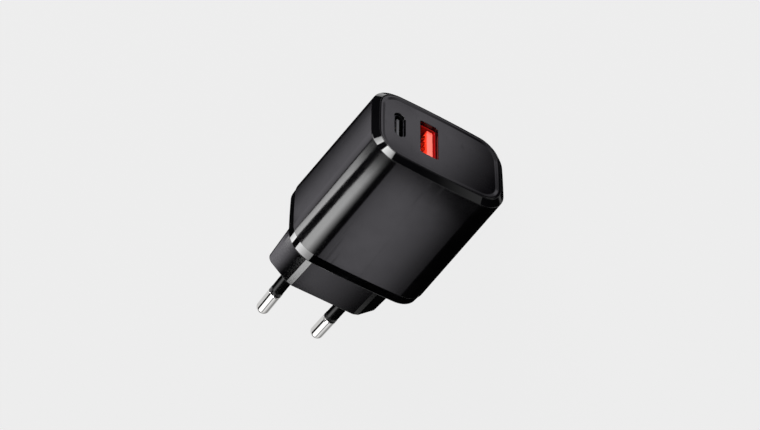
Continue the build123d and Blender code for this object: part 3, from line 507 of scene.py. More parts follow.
# Light marks of handling: finger smudges, and hair-fine scratches that run slantwise.
handling, handling_in, handling_out = new_group(
    "handling_marks", [("Smudge Scale", 90.0), ("Scratch Scale", 900.0)], ["Smudge", "Scratch"])
smudge = noise_in(handling, handling_in.outputs["Smudge Scale"], 5.0, object_place(handling))
handling.links.new(spread(handling, smudge, 0.0, 1.0, 0.50, 0.72), handling_out.inputs["Smudge"])
scratch_place = stretched_place(handling, (1.0, 0.03, 0.35), (0.4, 0.7, 0.9))
scratch = noise_in(handling, handling_in.outputs["Scratch Scale"], 1.0, scratch_place)
handling.links.new(spread(handling, scratch, 0.0, 1.0, 0.66, 0.72), handling_out.inputs["Scratch"])


def new_finish(name, colour, roughness, **settings):
    """A material with its shader, and the constants set straight on the shader."""
    material = bpy.data.materials.new(name)
    material.use_nodes = True
    shader = material.node_tree.nodes["Principled BSDF"]
    shader.inputs["Base Color"].default_value = (*colour, 1)
    shader.inputs["Roughness"].default_value = roughness
    for label, value in settings.items():
        shader.inputs[label.replace("_", " ")].default_value = value
    return material, material.node_tree, shader


def place_group(tree, group, **settings):
    """A node group placed in a material, with its own values."""
    node = tree.nodes.new("ShaderNodeGroup")
    node.node_tree = group
    for label, value in settings.items():
        node.inputs[label.replace("_", " ")].default_value = value
    return node


def bump_from(tree, shader, height, depth_mm, strength=1.0):
    """A bump of a real depth in millimetres on the shader's normal."""
    bump = tree.nodes.new("ShaderNodeBump")
    bump.inputs["Distance"].default_value = depth_mm * MM
    bump.inputs["Strength"].default_value = strength
    tree.links.new(height, bump.inputs["Height"])
    tree.links.new(bump.outputs["Normal"], shader.inputs["Normal"])


def roughened(tree, shader, mask, low, high, start=0.35, end=0.65):
    """The shader's roughness, from low to high as the mask goes from start to end."""
    tree.links.new(spread(tree, mask, low, high, start, end), shader.inputs["Roughness"])


def tinted(tree, shader, mask, light, dark):
    """The shader's colour mixed from a dark and a light one by a mask."""
    mix = tree.nodes.new("ShaderNodeMix")
    mix.data_type = "RGBA"
    tree.links.new(mask, mix.inputs["Factor"])
    mix.inputs["A"].default_value = (*dark, 1)
    mix.inputs["B"].default_value = (*light, 1)
    tree.links.new(mix.outputs["Result"], shader.inputs["Base Color"])


def moulded_plastic(name, colour, roughness, polish, pit_depth, smudge=0.06, gloss=0.5):
    """Moulded plastic: grain, patches of polish, smudges and a few hair scratches."""
    material, tree, shader = new_finish(name, colour, roughness, IOR=1.5, Specular_IOR_Level=gloss)
    grain = place_group(tree, mould_grain)
    marks = place_group(tree, handling)
    patchy = calculate(tree, "MULTIPLY", grain.outputs["Polish"], polish)
    smeared = calculate(tree, "MULTIPLY", marks.outputs["Smudge"], smudge)
    scratched = calculate(tree, "MULTIPLY", marks.outputs["Scratch"], 0.05)
    uneven = calculate(tree, "ADD", calculate(tree, "ADD", patchy, smeared), scratched)
    tree.links.new(calculate(tree, "ADD", uneven, roughness), shader.inputs["Roughness"])
    lighter = [part * 1.35 for part in colour]
    tinted(tree, shader, marks.outputs["Smudge"], lighter, colour)
    bump_from(tree, shader, grain.outputs["Height"], pit_depth, 0.5)
    return material


case_satin = moulded_plastic("case_satin", (0.0012, 0.0011, 0.0014), 0.14, 0.012, 0.004, 0.03, 0.23)

sleeve = Skin()
sleeve_profile = [(Y_BAND, SLEEVE_LIP, 180, -90)]
sleeve_profile += rounded_edge(Y_BAND - SLEEVE_EDGE, SLEEVE_EDGE, SLEEVE_EDGE, -90, 0)
sleeve_profile += rounded_edge(Y_BEVEL + SLEEVE_EDGE, SLEEVE_EDGE, SLEEVE_EDGE, 0, 90)
sleeve_profile += [
    (Y_BEVEL, SLEEVE_LIP, 90, 180),
    (Y_BEVEL + TONGUE_LENGTH, SLEEVE_LIP, 180, 90),
    (Y_BEVEL + TONGUE_LENGTH, SLEEVE_WALL, 90, 180),
    (Y_BAND - TONGUE_LENGTH, SLEEVE_WALL, 180, -90),
    (Y_BAND - TONGUE_LENGTH, SLEEVE_LIP, -90, 180),
]
sleeve.wrap(sleeve_profile, case_ring, closed=True)
sleeve.piece("main_sleeve", case_satin, ["housing_sleeve"])

# ---------------------------------------------------------------- plug cap
# The rear end in one moulding: a high-gloss band that meets the sleeve, and the plug block, a
# flattened hexagon in a slightly softer gloss. The pins are moulded into it.
Y_REAR = -16.25
BAND_INSET = 0.2
BAND_TAPER = 0.13
BAND_EDGE = 0.45
BAND_MOUTH_EDGE = 0.08
PLUG_HALF = (17.6, 7.25)
PLUG_FLAT_HALF = 10.0
PLUG_ROUND = 2.8
PLUG_DRAFT = 0.06
PLUG_FACE_EDGE = 0.35
SLANT_CROWN = 16
FACET_EASE = 0.12
FACET_BOW = 0.15
ROUNDING_STEPS = 16
TONGUE_GAP = 0.05
BLOCK_LEAN = -3.4
PIN_SPACING = 18.6
PIN_SPACING_AT_TIPS = 17.9
PIN_LENGTH = 19.0
PIN_SLEEVE_RADIUS = 1.9
RELIEF_WIDTH = 0.12
RELIEF_DEPTH = 0.25


def eased(share):
    """A facet's normal turns in its eased edges, and stays halfway across its flat."""
    if share < FACET_EASE:
        return share / FACET_EASE / 2
    if share < 1 - FACET_EASE:
        return 0.5
    return 0.5 + (share - 1 + FACET_EASE) / FACET_EASE / 2


def plug_ring(y, inset):
    """The plug block's outline at a station: a hexagon with a rounded edge at each end, and a flat
    facet with slightly eased edges at the other four."""
    grow = -y * PLUG_DRAFT
    centre_x = PLUG_HALF[0] + grow - PLUG_ROUND
    centre_z = PLUG_HALF[1] + grow - PLUG_ROUND
    radius = PLUG_ROUND - inset
    slant = math.degrees(math.atan2(centre_x - PLUG_FLAT_HALF, centre_z))
    corners = [
        ((centre_x, 0), 0, slant, False),
        ((PLUG_FLAT_HALF, centre_z), slant, 90, True),
    ]
    quarter = []
    for (x, z), start, end, has_facet in corners:
        for step in range(ROUNDING_STEPS + 1):
            share = step / ROUNDING_STEPS
            angle = math.radians(start + (end - start) * share)
            spot = Vector((x + radius * math.cos(angle), z + radius * math.sin(angle)))
            if has_facet:
                first = Vector((math.cos(math.radians(start)), math.sin(math.radians(start))))
                last = Vector((math.cos(math.radians(end)), math.sin(math.radians(end))))
                chord = Vector((x, z)) + (first + (last - first) * share) * radius
                spot = chord + (spot - chord) * FACET_BOW
                way = start + (end - start) * eased(share)
            else:
                # the slanted side is crowned a little towards the end edge
                way = start + (end - start - SLANT_CROWN) * share
            normal = Vector((math.cos(math.radians(way)), math.sin(math.radians(way))))
            quarter.append((spot, normal))
    whole = list(quarter)
    for sx, sz, part in ((-1, 1, quarter[::-1]), (-1, -1, quarter[1:]), (1, -1, quarter[:0:-1])):
        whole += [(Vector((spot.x * sx, spot.y * sz)), Vector((way.x * sx, way.y * sz)))
                  for spot, way in part]
    return [Vector((spot.x, y, spot.y)) for spot, _ in whole], [way for _, way in whole]


def disc_ring(x, y, z, radius, count=48):
    """A circle across the Y axis."""
    angles = [math.tau * i / count for i in range(count)]
    return [Vector((x + radius * math.cos(angle), y, z + radius * math.sin(angle))) for angle in angles]


def place_axes(tree):
    """The place on the piece, in metres, as X, Y and Z."""
    axes = tree.nodes.new("ShaderNodeSeparateXYZ")
    tree.links.new(object_place(tree), axes.inputs[0])
    return axes.outputs


cap_gloss, cap_tree, cap_shader = new_finish("cap_gloss", (0.0010, 0.0010, 0.0012), 0.05, IOR=1.5)
cap_grain = place_group(cap_tree, mould_grain)
cap_marks = place_group(cap_tree, handling)
# the block is a little less polished than the band
on_block = spread(cap_tree, place_axes(cap_tree)["Y"], 0.0, 1.0,
                  (Y_REAR - 0.05) * MM, (Y_REAR + 0.35) * MM)
block_rough = calculate(cap_tree, "MULTIPLY", on_block, 0.05)
cap_smear = calculate(cap_tree, "MULTIPLY", cap_marks.outputs["Smudge"], 0.03)
cap_rough = calculate(cap_tree, "ADD", calculate(cap_tree, "ADD", block_rough, cap_smear), 0.045)
cap_tree.links.new(cap_rough, cap_shader.inputs["Roughness"])
tinted(cap_tree, cap_shader, cap_marks.outputs["Smudge"],
       (0.0016, 0.0016, 0.0018), (0.0010, 0.0010, 0.0012))
block_pits = calculate(cap_tree, "MULTIPLY", cap_grain.outputs["Height"], on_block)
bump_from(cap_tree, cap_shader, block_pits, 0.006, 0.5)

cap = Skin()
cap_profile = [
    (Y_BAND - TONGUE_LENGTH, SLEEVE_WALL, 180, 90),
    (Y_BAND - TONGUE_LENGTH, SLEEVE_LIP + TONGUE_GAP, 90, 0),
    (Y_BAND, SLEEVE_LIP + TONGUE_GAP, 0, 90),
]
taper_lean = -math.degrees(math.atan2(BAND_TAPER, Y_REAR - Y_BAND))
cap_profile += rounded_edge(
    Y_BAND + BAND_MOUTH_EDGE, BAND_INSET + BAND_MOUTH_EDGE, BAND_MOUTH_EDGE, 90, taper_lean)
rear_inset = BAND_INSET + BAND_TAPER + BAND_EDGE
cap_profile += rounded_edge(Y_REAR - BAND_EDGE, rear_inset, BAND_EDGE, taper_lean, -90, 7)
_, rear_edge = cap.wrap(cap_profile, case_ring)
face_edge = rounded_edge(-PLUG_FACE_EDGE, PLUG_FACE_EDGE, PLUG_FACE_EDGE, BLOCK_LEAN, -90, 7)
block_foot, block_end = cap.wrap([(Y_REAR, 0, BLOCK_LEAN, BLOCK_LEAN)] + face_edge, plug_ring)
cap.flat([rear_edge, block_foot], (0, 1, 0))
pin_wells = []
for side in (-1, 1):
    x = side * PIN_SPACING / 2
    rim = cap.ring(disc_ring(x, 0, 0, PIN_SLEEVE_RADIUS + RELIEF_WIDTH))
    foot = cap.ring(disc_ring(x, -RELIEF_DEPTH, 0, PIN_SLEEVE_RADIUS + RELIEF_WIDTH))
    neck = cap.ring(disc_ring(x, -RELIEF_DEPTH, 0, PIN_SLEEVE_RADIUS - 0.2))
    inward = [Vector((x, 0, 0)) - Vector((cap.points[i].x, 0, cap.points[i].z)) for i in rim]
    cap.band(rim, inward, foot, inward)
    cap.band(foot, [Vector((0, 1, 0))] * len(foot), neck, [Vector((0, 1, 0))] * len(neck))
    pin_wells.append(rim)
cap.flat([block_end] + pin_wells, (0, 1, 0))
cap.piece("rear_cap", cap_gloss, ["plug_cap"])

# ---------------------------------------------------------------- plug pins
# Two round pins turned from brass and plated with bright nickel. They lean in slightly, so that
# they grip in the socket, and their tips are domed.
PIN_RADIUS = 2.0
PIN_NECK_RADIUS = 1.5
PIN_TIP_ROUND = 1.5
PIN_SLEEVE_LENGTH = 10.6


def turned_piece(skin, side, stations, count=56):
    """Rings round a pin's axis. Stations are (distance out, radius, lean before, lean after), where
    0 faces out, 90 the tip and -90 the root."""
    axis = Vector((side * (PIN_SPACING_AT_TIPS - PIN_SPACING) / 2, PIN_LENGTH, 0)).normalized()
    root = Vector((side * PIN_SPACING / 2, 0, 0))
    across = Vector((axis.y, -axis.x, 0))
    rings = []
    for out, radius, before, after in stations:
        points = []
        leans = ([], [])
        for i in range(count):
            angle = math.tau * i / count
            spoke = across * math.cos(angle) + Vector((0, 0, 1)) * math.sin(angle)
            points.append(root + axis * out + spoke * radius)
            for lean, normals in zip((before, after), leans):
                tilt = math.radians(lean)
                normals.append(spoke * math.cos(tilt) + axis * math.sin(tilt))
        rings.append((skin.ring(points), leans[0], leans[1]))
    for here, there in zip(rings, rings[1:]):
        skin.band(here[0], here[2], there[0], there[1])
    skin.flat([rings[0][0]], -axis)
    skin.flat([rings[-1][0]], axis)


def turned_round(out, radius, size, start, end, steps=6):
    """Stations round a turned edge whose rounding has its centre at that distance and radius."""
    stations = []
    for step in range(steps + 1):
        lean = start + (end - start) * step / steps
        angle = math.radians(lean)
        stations.append((out + size * math.sin(angle), radius + size * math.cos(angle), lean, lean))
    return stations


pin_plating, plating_tree, plating_shader = new_finish(
    "pin_plating", (0.62, 0.605, 0.585), 0.12, Metallic=1.0)
plating_marks = place_group(plating_tree, handling, Smudge_Scale=260.0, Scratch_Scale=1500.0)
worn = calculate(plating_tree, "MULTIPLY", plating_marks.outputs["Smudge"], 0.03)
plating_tree.links.new(calculate(plating_tree, "ADD", worn, 0.05), plating_shader.inputs["Roughness"])
tinted(plating_tree, plating_shader, plating_marks.outputs["Smudge"],
       (0.58, 0.57, 0.55), (0.66, 0.655, 0.645))

for side, name in ((1, "live_pin"), (-1, "neutral_pin")):
    pin = Skin()
    # the narrower neck runs on inside the sleeve
    pin_profile = [
        (PIN_SLEEVE_LENGTH - 8, PIN_NECK_RADIUS, 0, 0),
        (PIN_SLEEVE_LENGTH + 0.02, PIN_NECK_RADIUS, 0, -90),
    ]
    pin_profile += turned_round(PIN_SLEEVE_LENGTH + 0.12, PIN_RADIUS - 0.1, 0.1, -90, 0, 4)
    pin_profile += turned_round(
        PIN_LENGTH - PIN_TIP_ROUND, PIN_RADIUS - PIN_TIP_ROUND, PIN_TIP_ROUND, 0, 90, 14)
    turned_piece(pin, side, pin_profile)
    pin.piece(name + "_plated", pin_plating, [name])

# ---------------------------------------------------------------- pin sleeves
# A black insulating sleeve is moulded round the root of each pin, so that fingers can't touch
# live metal while the plug is half out. It ends in a slight flare.
FLARE = 0.08
SLEEVE_END_ROUND = 0.12
SLEEVE_ROOT = -1.9

pin_sleeve_black = moulded_plastic(
    "pin_sleeve_black", (0.0014, 0.0014, 0.0016), 0.13, 0.012, 0.003, 0.03, 0.45)

for side, name in ((1, "live_pin_sleeve"), (-1, "neutral_pin_sleeve")):
    boot = Skin()
    boot_profile = [
        (SLEEVE_ROOT, PIN_SLEEVE_RADIUS, 0, 0),
        (PIN_SLEEVE_LENGTH - 1.4, PIN_SLEEVE_RADIUS, 0, 3),
        (PIN_SLEEVE_LENGTH - 0.6, PIN_SLEEVE_RADIUS + FLARE, 3, 0),
    ]
    boot_profile += turned_round(
        PIN_SLEEVE_LENGTH - SLEEVE_END_ROUND, PIN_SLEEVE_RADIUS + FLARE - SLEEVE_END_ROUND,
        SLEEVE_END_ROUND, 0, 90, 5)
    boot_profile += [(PIN_SLEEVE_LENGTH, PIN_NECK_RADIUS + 0.02, 90, 90)]
    turned_piece(boot, side, boot_profile)
    boot.piece(name + "_moulded", pin_sleeve_black, [name])

# ---------------------------------------------------------------- front frame
# A high-gloss frame with a bevel all round. Its tongue clicks into the sleeve, and the port
# panel sits in its pocket, a hair below the frame's inner edge.
Y_PORT = -59.5
Y_PANEL_BACK = -58.0
BEVEL_INSET = 1.75
BEVEL_FOOT_EDGE = 0.09
BEVEL_TOP_EDGE = 0.12
PANEL_LAND = 0.1
LEDGE_WIDTH = 1.4
LEDGE_THICK = 1.2

bezel_gloss = moulded_plastic("bezel_gloss", (0.0010, 0.0010, 0.0012), 0.03, 0.004, 0.0003, 0.012)

bezel = Skin()
bevel_lean = math.degrees(math.atan2(BEVEL_INSET, Y_BEVEL - Y_PORT))
bezel_profile = [
    (Y_BEVEL + TONGUE_LENGTH, SLEEVE_LIP + TONGUE_GAP, -90, 0),
    (Y_BEVEL, SLEEVE_LIP + TONGUE_GAP, 0, -90),
]
bezel_profile += rounded_edge(Y_BEVEL - BEVEL_FOOT_EDGE, 0.1, BEVEL_FOOT_EDGE, -90, bevel_lean)
bezel_profile += rounded_edge(
    Y_PORT + BEVEL_TOP_EDGE, BEVEL_INSET - 0.02, BEVEL_TOP_EDGE, bevel_lean, 180, 7)
bezel_profile += [
    (Y_PANEL_BACK, BEVEL_INSET + PANEL_LAND, 180, 90),
    (Y_PANEL_BACK, BEVEL_INSET + PANEL_LAND + LEDGE_WIDTH, 90, 180),
    (Y_PANEL_BACK + LEDGE_THICK, BEVEL_INSET + PANEL_LAND + LEDGE_WIDTH, 180, -90),
    (Y_PANEL_BACK + LEDGE_THICK, SLEEVE_WALL, -90, 180),
    (Y_BEVEL + TONGUE_LENGTH, SLEEVE_WALL, 180, -90),
]
bezel.wrap(bezel_profile, case_ring, closed=True)
bezel.piece("bevelled_frame", bezel_gloss, ["front_bezel"])

# ---------------------------------------------------------------- port panel
# A satin plate with rounded edges and a shallow dish, moulded with the two port openings.
# Four pegs behind it are staked through the frame's ledge.
PANEL_INSET = 1.9
PANEL_EDGE = 0.3
DISH_DEPTH = 0.15
DISH_START = 0.6
DISH_END = 1.6
USB_A_CENTRE = (3.6, -0.5)
USB_A_OPENING = (5.6, 12.9)
USB_A_CORNER = 0.6
USB_C_CENTRE = (12.9, -0.5)
USB_C_OPENING = (3.5, 9.4)
OPENING_EDGE = 0.12
OPENING_STEPS = 4

panel_satin = moulded_plastic("panel_satin", (0.0012, 0.0011, 0.0014), 0.10, 0.012, 0.004, 0.03, 0.4)


def port_ring(centre, size, radius, y, grow=0.0, count=10):
    """Points and outward normals round a port's rounded outline, made larger by grow."""
    half_x = size[0] / 2 - radius
    half_z = size[1] / 2 - radius
    reach = radius + grow
    points = []
    normals = []
    for start, sx, sz in ((0, 1, 1), (90, -1, 1), (180, -1, -1), (270, 1, -1)):
        for step in range(count + 1):
            angle = math.radians(start + 90 * step / count)
            normal = Vector((math.cos(angle), math.sin(angle)))
            normals.append(normal)
            points.append(Vector((centre[0] + sx * half_x + reach * normal.x, y,
                                  centre[1] + sz * half_z + reach * normal.y)))
    return points, normals


panel = Skin()
dish_lean = 90 + math.degrees(math.atan2(DISH_DEPTH, DISH_END - DISH_START))
y_dish = Y_PORT + DISH_DEPTH
panel_profile = [(Y_PANEL_BACK, PANEL_INSET, 0, 0)]
panel_profile += rounded_edge(Y_PORT + PANEL_EDGE, PANEL_INSET + PANEL_EDGE, PANEL_EDGE, 0, 90, 7)
panel_profile += [
    (Y_PORT, PANEL_INSET + DISH_START - 0.1, 90, 90),
    (Y_PORT + DISH_DEPTH * 0.2, PANEL_INSET + DISH_START + 0.25, dish_lean, dish_lean),
    (Y_PORT + DISH_DEPTH * 0.8, PANEL_INSET + DISH_END - 0.25, dish_lean, dish_lean),
    (y_dish, PANEL_INSET + DISH_END + 0.1, 90, 90),
]
panel_back, dish_edge = panel.wrap(panel_profile, case_ring)
openings = []
for centre, size, radius in ((USB_A_CENTRE, USB_A_OPENING, USB_A_CORNER),
                             (USB_C_CENTRE, USB_C_OPENING, USB_C_OPENING[0] / 2 - 0.02)):
    rings = []
    for step in range(OPENING_STEPS + 1):
        angle = math.radians(90 * step / OPENING_STEPS)
        out = OPENING_EDGE * (1 - math.sin(angle))
        y = y_dish + OPENING_EDGE * (1 - math.cos(angle))
        points, normals = port_ring(centre, size, radius, y, out)
        turned = [Vector((-n.x * math.sin(angle), -math.cos(angle), -n.y * math.sin(angle)))
                  for n in normals]
        rings.append((panel.ring(points), turned))
    points, normals = port_ring(centre, size, radius, Y_PANEL_BACK)
    rings.append((panel.ring(points), [Vector((-n.x, 0, -n.y)) for n in normals]))
    for here, there in zip(rings, rings[1:]):
        panel.band(here[0], here[1], there[0], there[1])
    openings.append((rings[0][0], rings[-1][0]))
panel.flat([dish_edge] + [front for front, _ in openings], (0, -1, 0))
panel.flat([panel_back] + [back for _, back in openings], (0, 1, 0))
panel.piece("port_plate", panel_satin, ["port_panel"])

# ---------------------------------------------------------------- USB-A port
# A red nylon insulator lines a steel shell, and its tongue carries four gold-plated springs. The
# shell's legs are soldered to the upright board.
TONGUE_SHIFT = -1.1
TONGUE_THICK = 1.84
TONGUE_RECESS = 1.7


def dress(material, *names):
    """Puts a finish on CAD nodes that keep their own shape."""
    for name in names:
        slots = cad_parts[name].data.materials
        slots.clear()
        slots.append(material)


port_red, red_tree, red_shader = new_finish(
    "port_red", (0.62, 0.03, 0.02), 0.34, Specular_IOR_Level=0.45)
red_place = place_axes(red_tree)
# the red is painted deeper down its far wall and at its low end, as painted shade, and paler on the
# tongue's front, as a painted highlight
tongue_x = USB_A_CENTRE[0] + TONGUE_SHIFT
tongue_low = tongue_x - TONGUE_THICK / 2
tongue_high = tongue_x + TONGUE_THICK / 2
tongue_front = Y_PORT + TONGUE_RECESS
off_far_wall = spread(red_tree, red_place["X"], 0.0, 1.0,
                      (tongue_low - 0.2) * MM, (tongue_low - 0.05) * MM)
off_low_end = spread(red_tree, red_place["Z"], 0.0, 1.0,
                     (USB_A_CENTRE[1] - 6.4) * MM, (USB_A_CENTRE[1] - 4.2) * MM)
on_tongue = spread(red_tree, red_place["X"], 1.0, 0.0,
                   (tongue_high - 0.06) * MM, (tongue_high - 0.02) * MM)
at_front = spread(red_tree, red_place["Y"], 1.0, 0.0,
                  (tongue_front + 0.02) * MM, (tongue_front + 0.10) * MM)
outside_painted_shade = calculate(red_tree, "MULTIPLY", off_far_wall, off_low_end)
tongue_end = calculate(red_tree, "MULTIPLY", on_tongue, at_front)
painted_highlight_part = calculate(red_tree, "MULTIPLY", tongue_end, outside_painted_shade)
red_with_painted_shade = red_tree.nodes.new("ShaderNodeMix")
red_with_painted_shade.data_type = "RGBA"
red_tree.links.new(outside_painted_shade, red_with_painted_shade.inputs["Factor"])
# painted shade: A is the deep red on the far wall and the low end, B the lit red elsewhere
red_with_painted_shade.inputs["A"].default_value = (0.22, 0.002, 0.002, 1)
red_with_painted_shade.inputs["B"].default_value = (0.86, 0.034, 0.012, 1)
red_with_painted_highlight = red_tree.nodes.new("ShaderNodeMix")
red_with_painted_highlight.data_type = "RGBA"
red_tree.links.new(painted_highlight_part, red_with_painted_highlight.inputs["Factor"])
red_tree.links.new(red_with_painted_shade.outputs["Result"], red_with_painted_highlight.inputs["A"])
# painted highlight: a pale salmon red on the tongue's front
red_with_painted_highlight.inputs["B"].default_value = (0.70, 0.11, 0.085, 1)
red_tree.links.new(red_with_painted_highlight.outputs["Result"], red_shader.inputs["Base Color"])
red_grain = place_group(red_tree, mould_grain)
roughened(red_tree, red_shader, red_grain.outputs["Polish"], 0.30, 0.40, -1.0, 1.0)
bump_from(red_tree, red_shader, red_grain.outputs["Height"], 0.006, 0.5)

shell_steel, steel_tree, steel_shader = new_finish("shell_steel", (0.42, 0.41, 0.40), 0.28, Metallic=1.0)
steel_place = stretched_place(steel_tree, (1.0, 0.04, 1.0))
rolled_lines = noise_in(steel_tree, 7000.0, 3.0, steel_place)
roughened(steel_tree, steel_shader, rolled_lines, 0.20, 0.36)
tinted(steel_tree, steel_shader, rolled_lines, (0.34, 0.335, 0.33), (0.22, 0.215, 0.21))
bump_from(steel_tree, steel_shader, rolled_lines, 0.001, 0.5)

contact_gold, gold_tree, gold_shader = new_finish("contact_gold", (0.83, 0.58, 0.24), 0.2, Metallic=1.0)
gold_marks = place_group(gold_tree, handling, Smudge_Scale=700.0, Scratch_Scale=2600.0)
tinted(gold_tree, gold_shader, gold_marks.outputs["Smudge"], (0.62, 0.42, 0.20), (0.86, 0.62, 0.27))
roughened(gold_tree, gold_shader, gold_marks.outputs["Smudge"], 0.16, 0.34, 0.0, 1.0)

dress(port_red, "usb_a_housing")
dress(shell_steel, "usb_a_shell")
dress(contact_gold, "usb_a_contacts", "usb_c_contacts")

# ---------------------------------------------------------------- USB-C port
# A drawn steel shell with dark nickel plating, and in its middle a black tongue with fine contacts
# on both faces. It stands beside the USB-A port on the upright board.
shell_dark, dark_tree, dark_shader = new_finish(
    "shell_dark_nickel", (0.07, 0.07, 0.075), 0.24, Metallic=1.0)
dark_marks = place_group(dark_tree, handling, Smudge_Scale=600.0, Scratch_Scale=2200.0)
roughened(dark_tree, dark_shader, dark_marks.outputs["Smudge"], 0.20, 0.36, 0.0, 1.0)
tinted(dark_tree, dark_shader, dark_marks.outputs["Smudge"], (0.045, 0.045, 0.05), (0.075, 0.075, 0.08))
dress(shell_dark, "usb_c_shell")
tongue_black = moulded_plastic("insulator_black", (0.03, 0.03, 0.032), 0.30, 0.03, 0.004, 0.05, 0.5)
dress(tongue_black, "usb_c_tongue")

# ---------------------------------------------------------------- boards
# Two glass-epoxy boards with green solder mask. Copper tracks raise the mask a little and show
# lighter through it, and the weave of the glass shows faintly.


def wave_in(tree, direction, scale, distortion):
    """The bands of a wave texture across one direction of the piece."""
    wave = tree.nodes.new("ShaderNodeTexWave")
    wave.bands_direction = direction
    wave.inputs["Scale"].default_value = scale
    wave.inputs["Distortion"].default_value = distortion
    tree.links.new(object_place(tree), wave.inputs["Vector"])
    return wave.outputs["Fac"]


board_green, board_tree, board_shader = new_finish("board_green", (0.012, 0.10, 0.035), 0.32)
weave_lines = [wave_in(board_tree, direction, 450.0, 0.6) for direction in ("X", "Y")]
tracks = board_tree.nodes.new("ShaderNodeTexVoronoi")
tracks.feature = "DISTANCE_TO_EDGE"
tracks.distance = "EUCLIDEAN"
tracks.inputs["Scale"].default_value = 320.0
tracks.inputs["Randomness"].default_value = 0.55
board_tree.links.new(object_place(board_tree), tracks.inputs["Vector"])
track = spread(board_tree, tracks.outputs["Distance"], 0.0, 1.0, 0.08, 0.11)
tinted(board_tree, board_shader, track, (0.022, 0.17, 0.055), (0.008, 0.07, 0.028))
weave_height = calculate(board_tree, "MULTIPLY", calculate(board_tree, "ADD", *weave_lines), 0.12)
bump_from(board_tree, board_shader, calculate(board_tree, "ADD", track, weave_height), 0.03, 0.6)
dress(board_green, "main_board", "port_board")

# ---------------------------------------------------------------- leads, pins and solder
# Tinned copper leads, and the cones of lead-free solder that hold them. The tin is dull in
# patches, where flux has stained it.
tinned_metal, tin_tree, tin_shader = new_finish("tinned_metal", (0.60, 0.60, 0.58), 0.33, Metallic=1.0)
tin_grain = place_group(tin_tree, mould_grain, Pit_Scale=2600.0, Patch_Scale=900.0)
roughened(tin_tree, tin_shader, tin_grain.outputs["Polish"], 0.22, 0.48, -1.0, 1.0)
tin_stain = spread(tin_tree, tin_grain.outputs["Polish"], 0.0, 1.0, 0.2, 1.0)
tinted(tin_tree, tin_shader, tin_stain, (0.50, 0.47, 0.40), (0.64, 0.64, 0.63))
bump_from(tin_tree, tin_shader, tin_grain.outputs["Height"], 0.01, 0.4)
dress(tinned_metal, "board_link_pins", "solder_joints", "fuse_leads", "film_capacitor_leads",
      "filter_inductor_leads", "input_capacitor_leads", "transformer_pins", "y_capacitor_leads",
      "output_capacitor_leads")

# ---------------------------------------------------------------- contact springs
# A bent strip of spring brass from the main board to each pin's tail, with the fine lines of
# rolling along it and a little tarnish.
spring_brass, brass_tree, brass_shader = new_finish(
    "spring_brass", (0.70, 0.50, 0.22), 0.30, Metallic=1.0)
brass_grain = place_group(brass_tree, mould_grain, Pit_Scale=4000.0, Patch_Scale=500.0)
brass_tarnish = spread(brass_tree, brass_grain.outputs["Polish"], 0.0, 1.0, -1.0, 1.0)
tinted(brass_tree, brass_shader, brass_tarnish, (0.74, 0.54, 0.25), (0.52, 0.34, 0.14))
roughened(brass_tree, brass_shader, brass_tarnish, 0.36, 0.24, 0.0, 1.0)
bump_from(brass_tree, brass_shader, brass_grain.outputs["Height"], 0.002, 0.4)
dress(spring_brass, "live_contact_spring", "neutral_contact_spring")

# ---------------------------------------------------------------- fuse, chips and small parts
# Moulded epoxy bodies: a black fuse, bridge, chips, diode and resistors, with tan ceramic
# capacitors between them. The epoxy is matt, and slightly speckled with its filler.


def speckled(name, light, dark, roughness, speck_scale, depth, amount=(0.45, 0.62)):
    """A matt surface of two close colours in fine specks, with a shallow bump."""
    material, tree, shader = new_finish(name, light, roughness)
    grain = place_group(tree, mould_grain, Pit_Scale=speck_scale, Patch_Scale=speck_scale / 8)
    speck = spread(tree, grain.outputs["Height"], 0.0, 1.0, *amount)
    tinted(tree, shader, speck, light, dark)
    roughened(tree, shader, grain.outputs["Polish"], roughness - 0.06, roughness + 0.06, -1.0, 1.0)
    bump_from(tree, shader, grain.outputs["Height"], depth, 0.6)
    return material


dress(speckled("fuse_black", (0.022, 0.022, 0.023), (0.010, 0.010, 0.011), 0.45, 4000.0, 0.01),
      "fuse_body")
dress(speckled("chip_black", (0.030, 0.030, 0.031), (0.014, 0.014, 0.015), 0.55, 6000.0, 0.008),
      "bridge_rectifier", "optocoupler", "power_switch_ic", "rectifier_ic", "protocol_ic",
      "snubber_diode", "chip_resistors")
dress(speckled("ceramic_tan", (0.52, 0.37, 0.22), (0.40, 0.27, 0.15), 0.42, 8000.0, 0.004),
      "chip_capacitors")

# ---------------------------------------------------------------- film and safety capacitors
# A film capacitor and a disc capacitor, each dipped in coloured epoxy that pulls thin at the
# edges and has a soft orange-peel surface.


def dipped_epoxy(name, colour, thin_colour):
    """Glossy dipped epoxy with orange peel, slightly thinner in patches."""
    material, tree, shader = new_finish(name, colour, 0.22, Coat_Weight=0.3)
    skin = place_group(tree, mould_grain, Pit_Scale=900.0, Patch_Scale=350.0)
    thin = spread(tree, skin.outputs["Polish"], 0.0, 1.0, -0.6, 1.0)
    tinted(tree, shader, thin, thin_colour, colour)
    roughened(tree, shader, skin.outputs["Height"], 0.16, 0.30)
    bump_from(tree, shader, skin.outputs["Height"], 0.04, 0.5)
    return material


dress(dipped_epoxy("film_yellow", (0.70, 0.44, 0.03), (0.80, 0.55, 0.08)), "film_capacitor")
dress(dipped_epoxy("disc_blue", (0.02, 0.10, 0.42), (0.04, 0.16, 0.52)), "y_capacitor")

# ---------------------------------------------------------------- transformer and filter inductor
# Pressed and fired ferrite halves round a nylon bobbin, wound with enamelled copper wire in
# level layers. The transformer's windings are wrapped in yellow polyester tape.
dress(speckled("ferrite", (0.060, 0.058, 0.058), (0.030, 0.029, 0.030), 0.62, 3000.0, 0.02, (0.38, 0.6)),
      "transformer_core", "filter_inductor_core")
dress(moulded_plastic("bobbin_black", (0.014, 0.014, 0.015), 0.42, 0.04, 0.01), "transformer_bobbin")

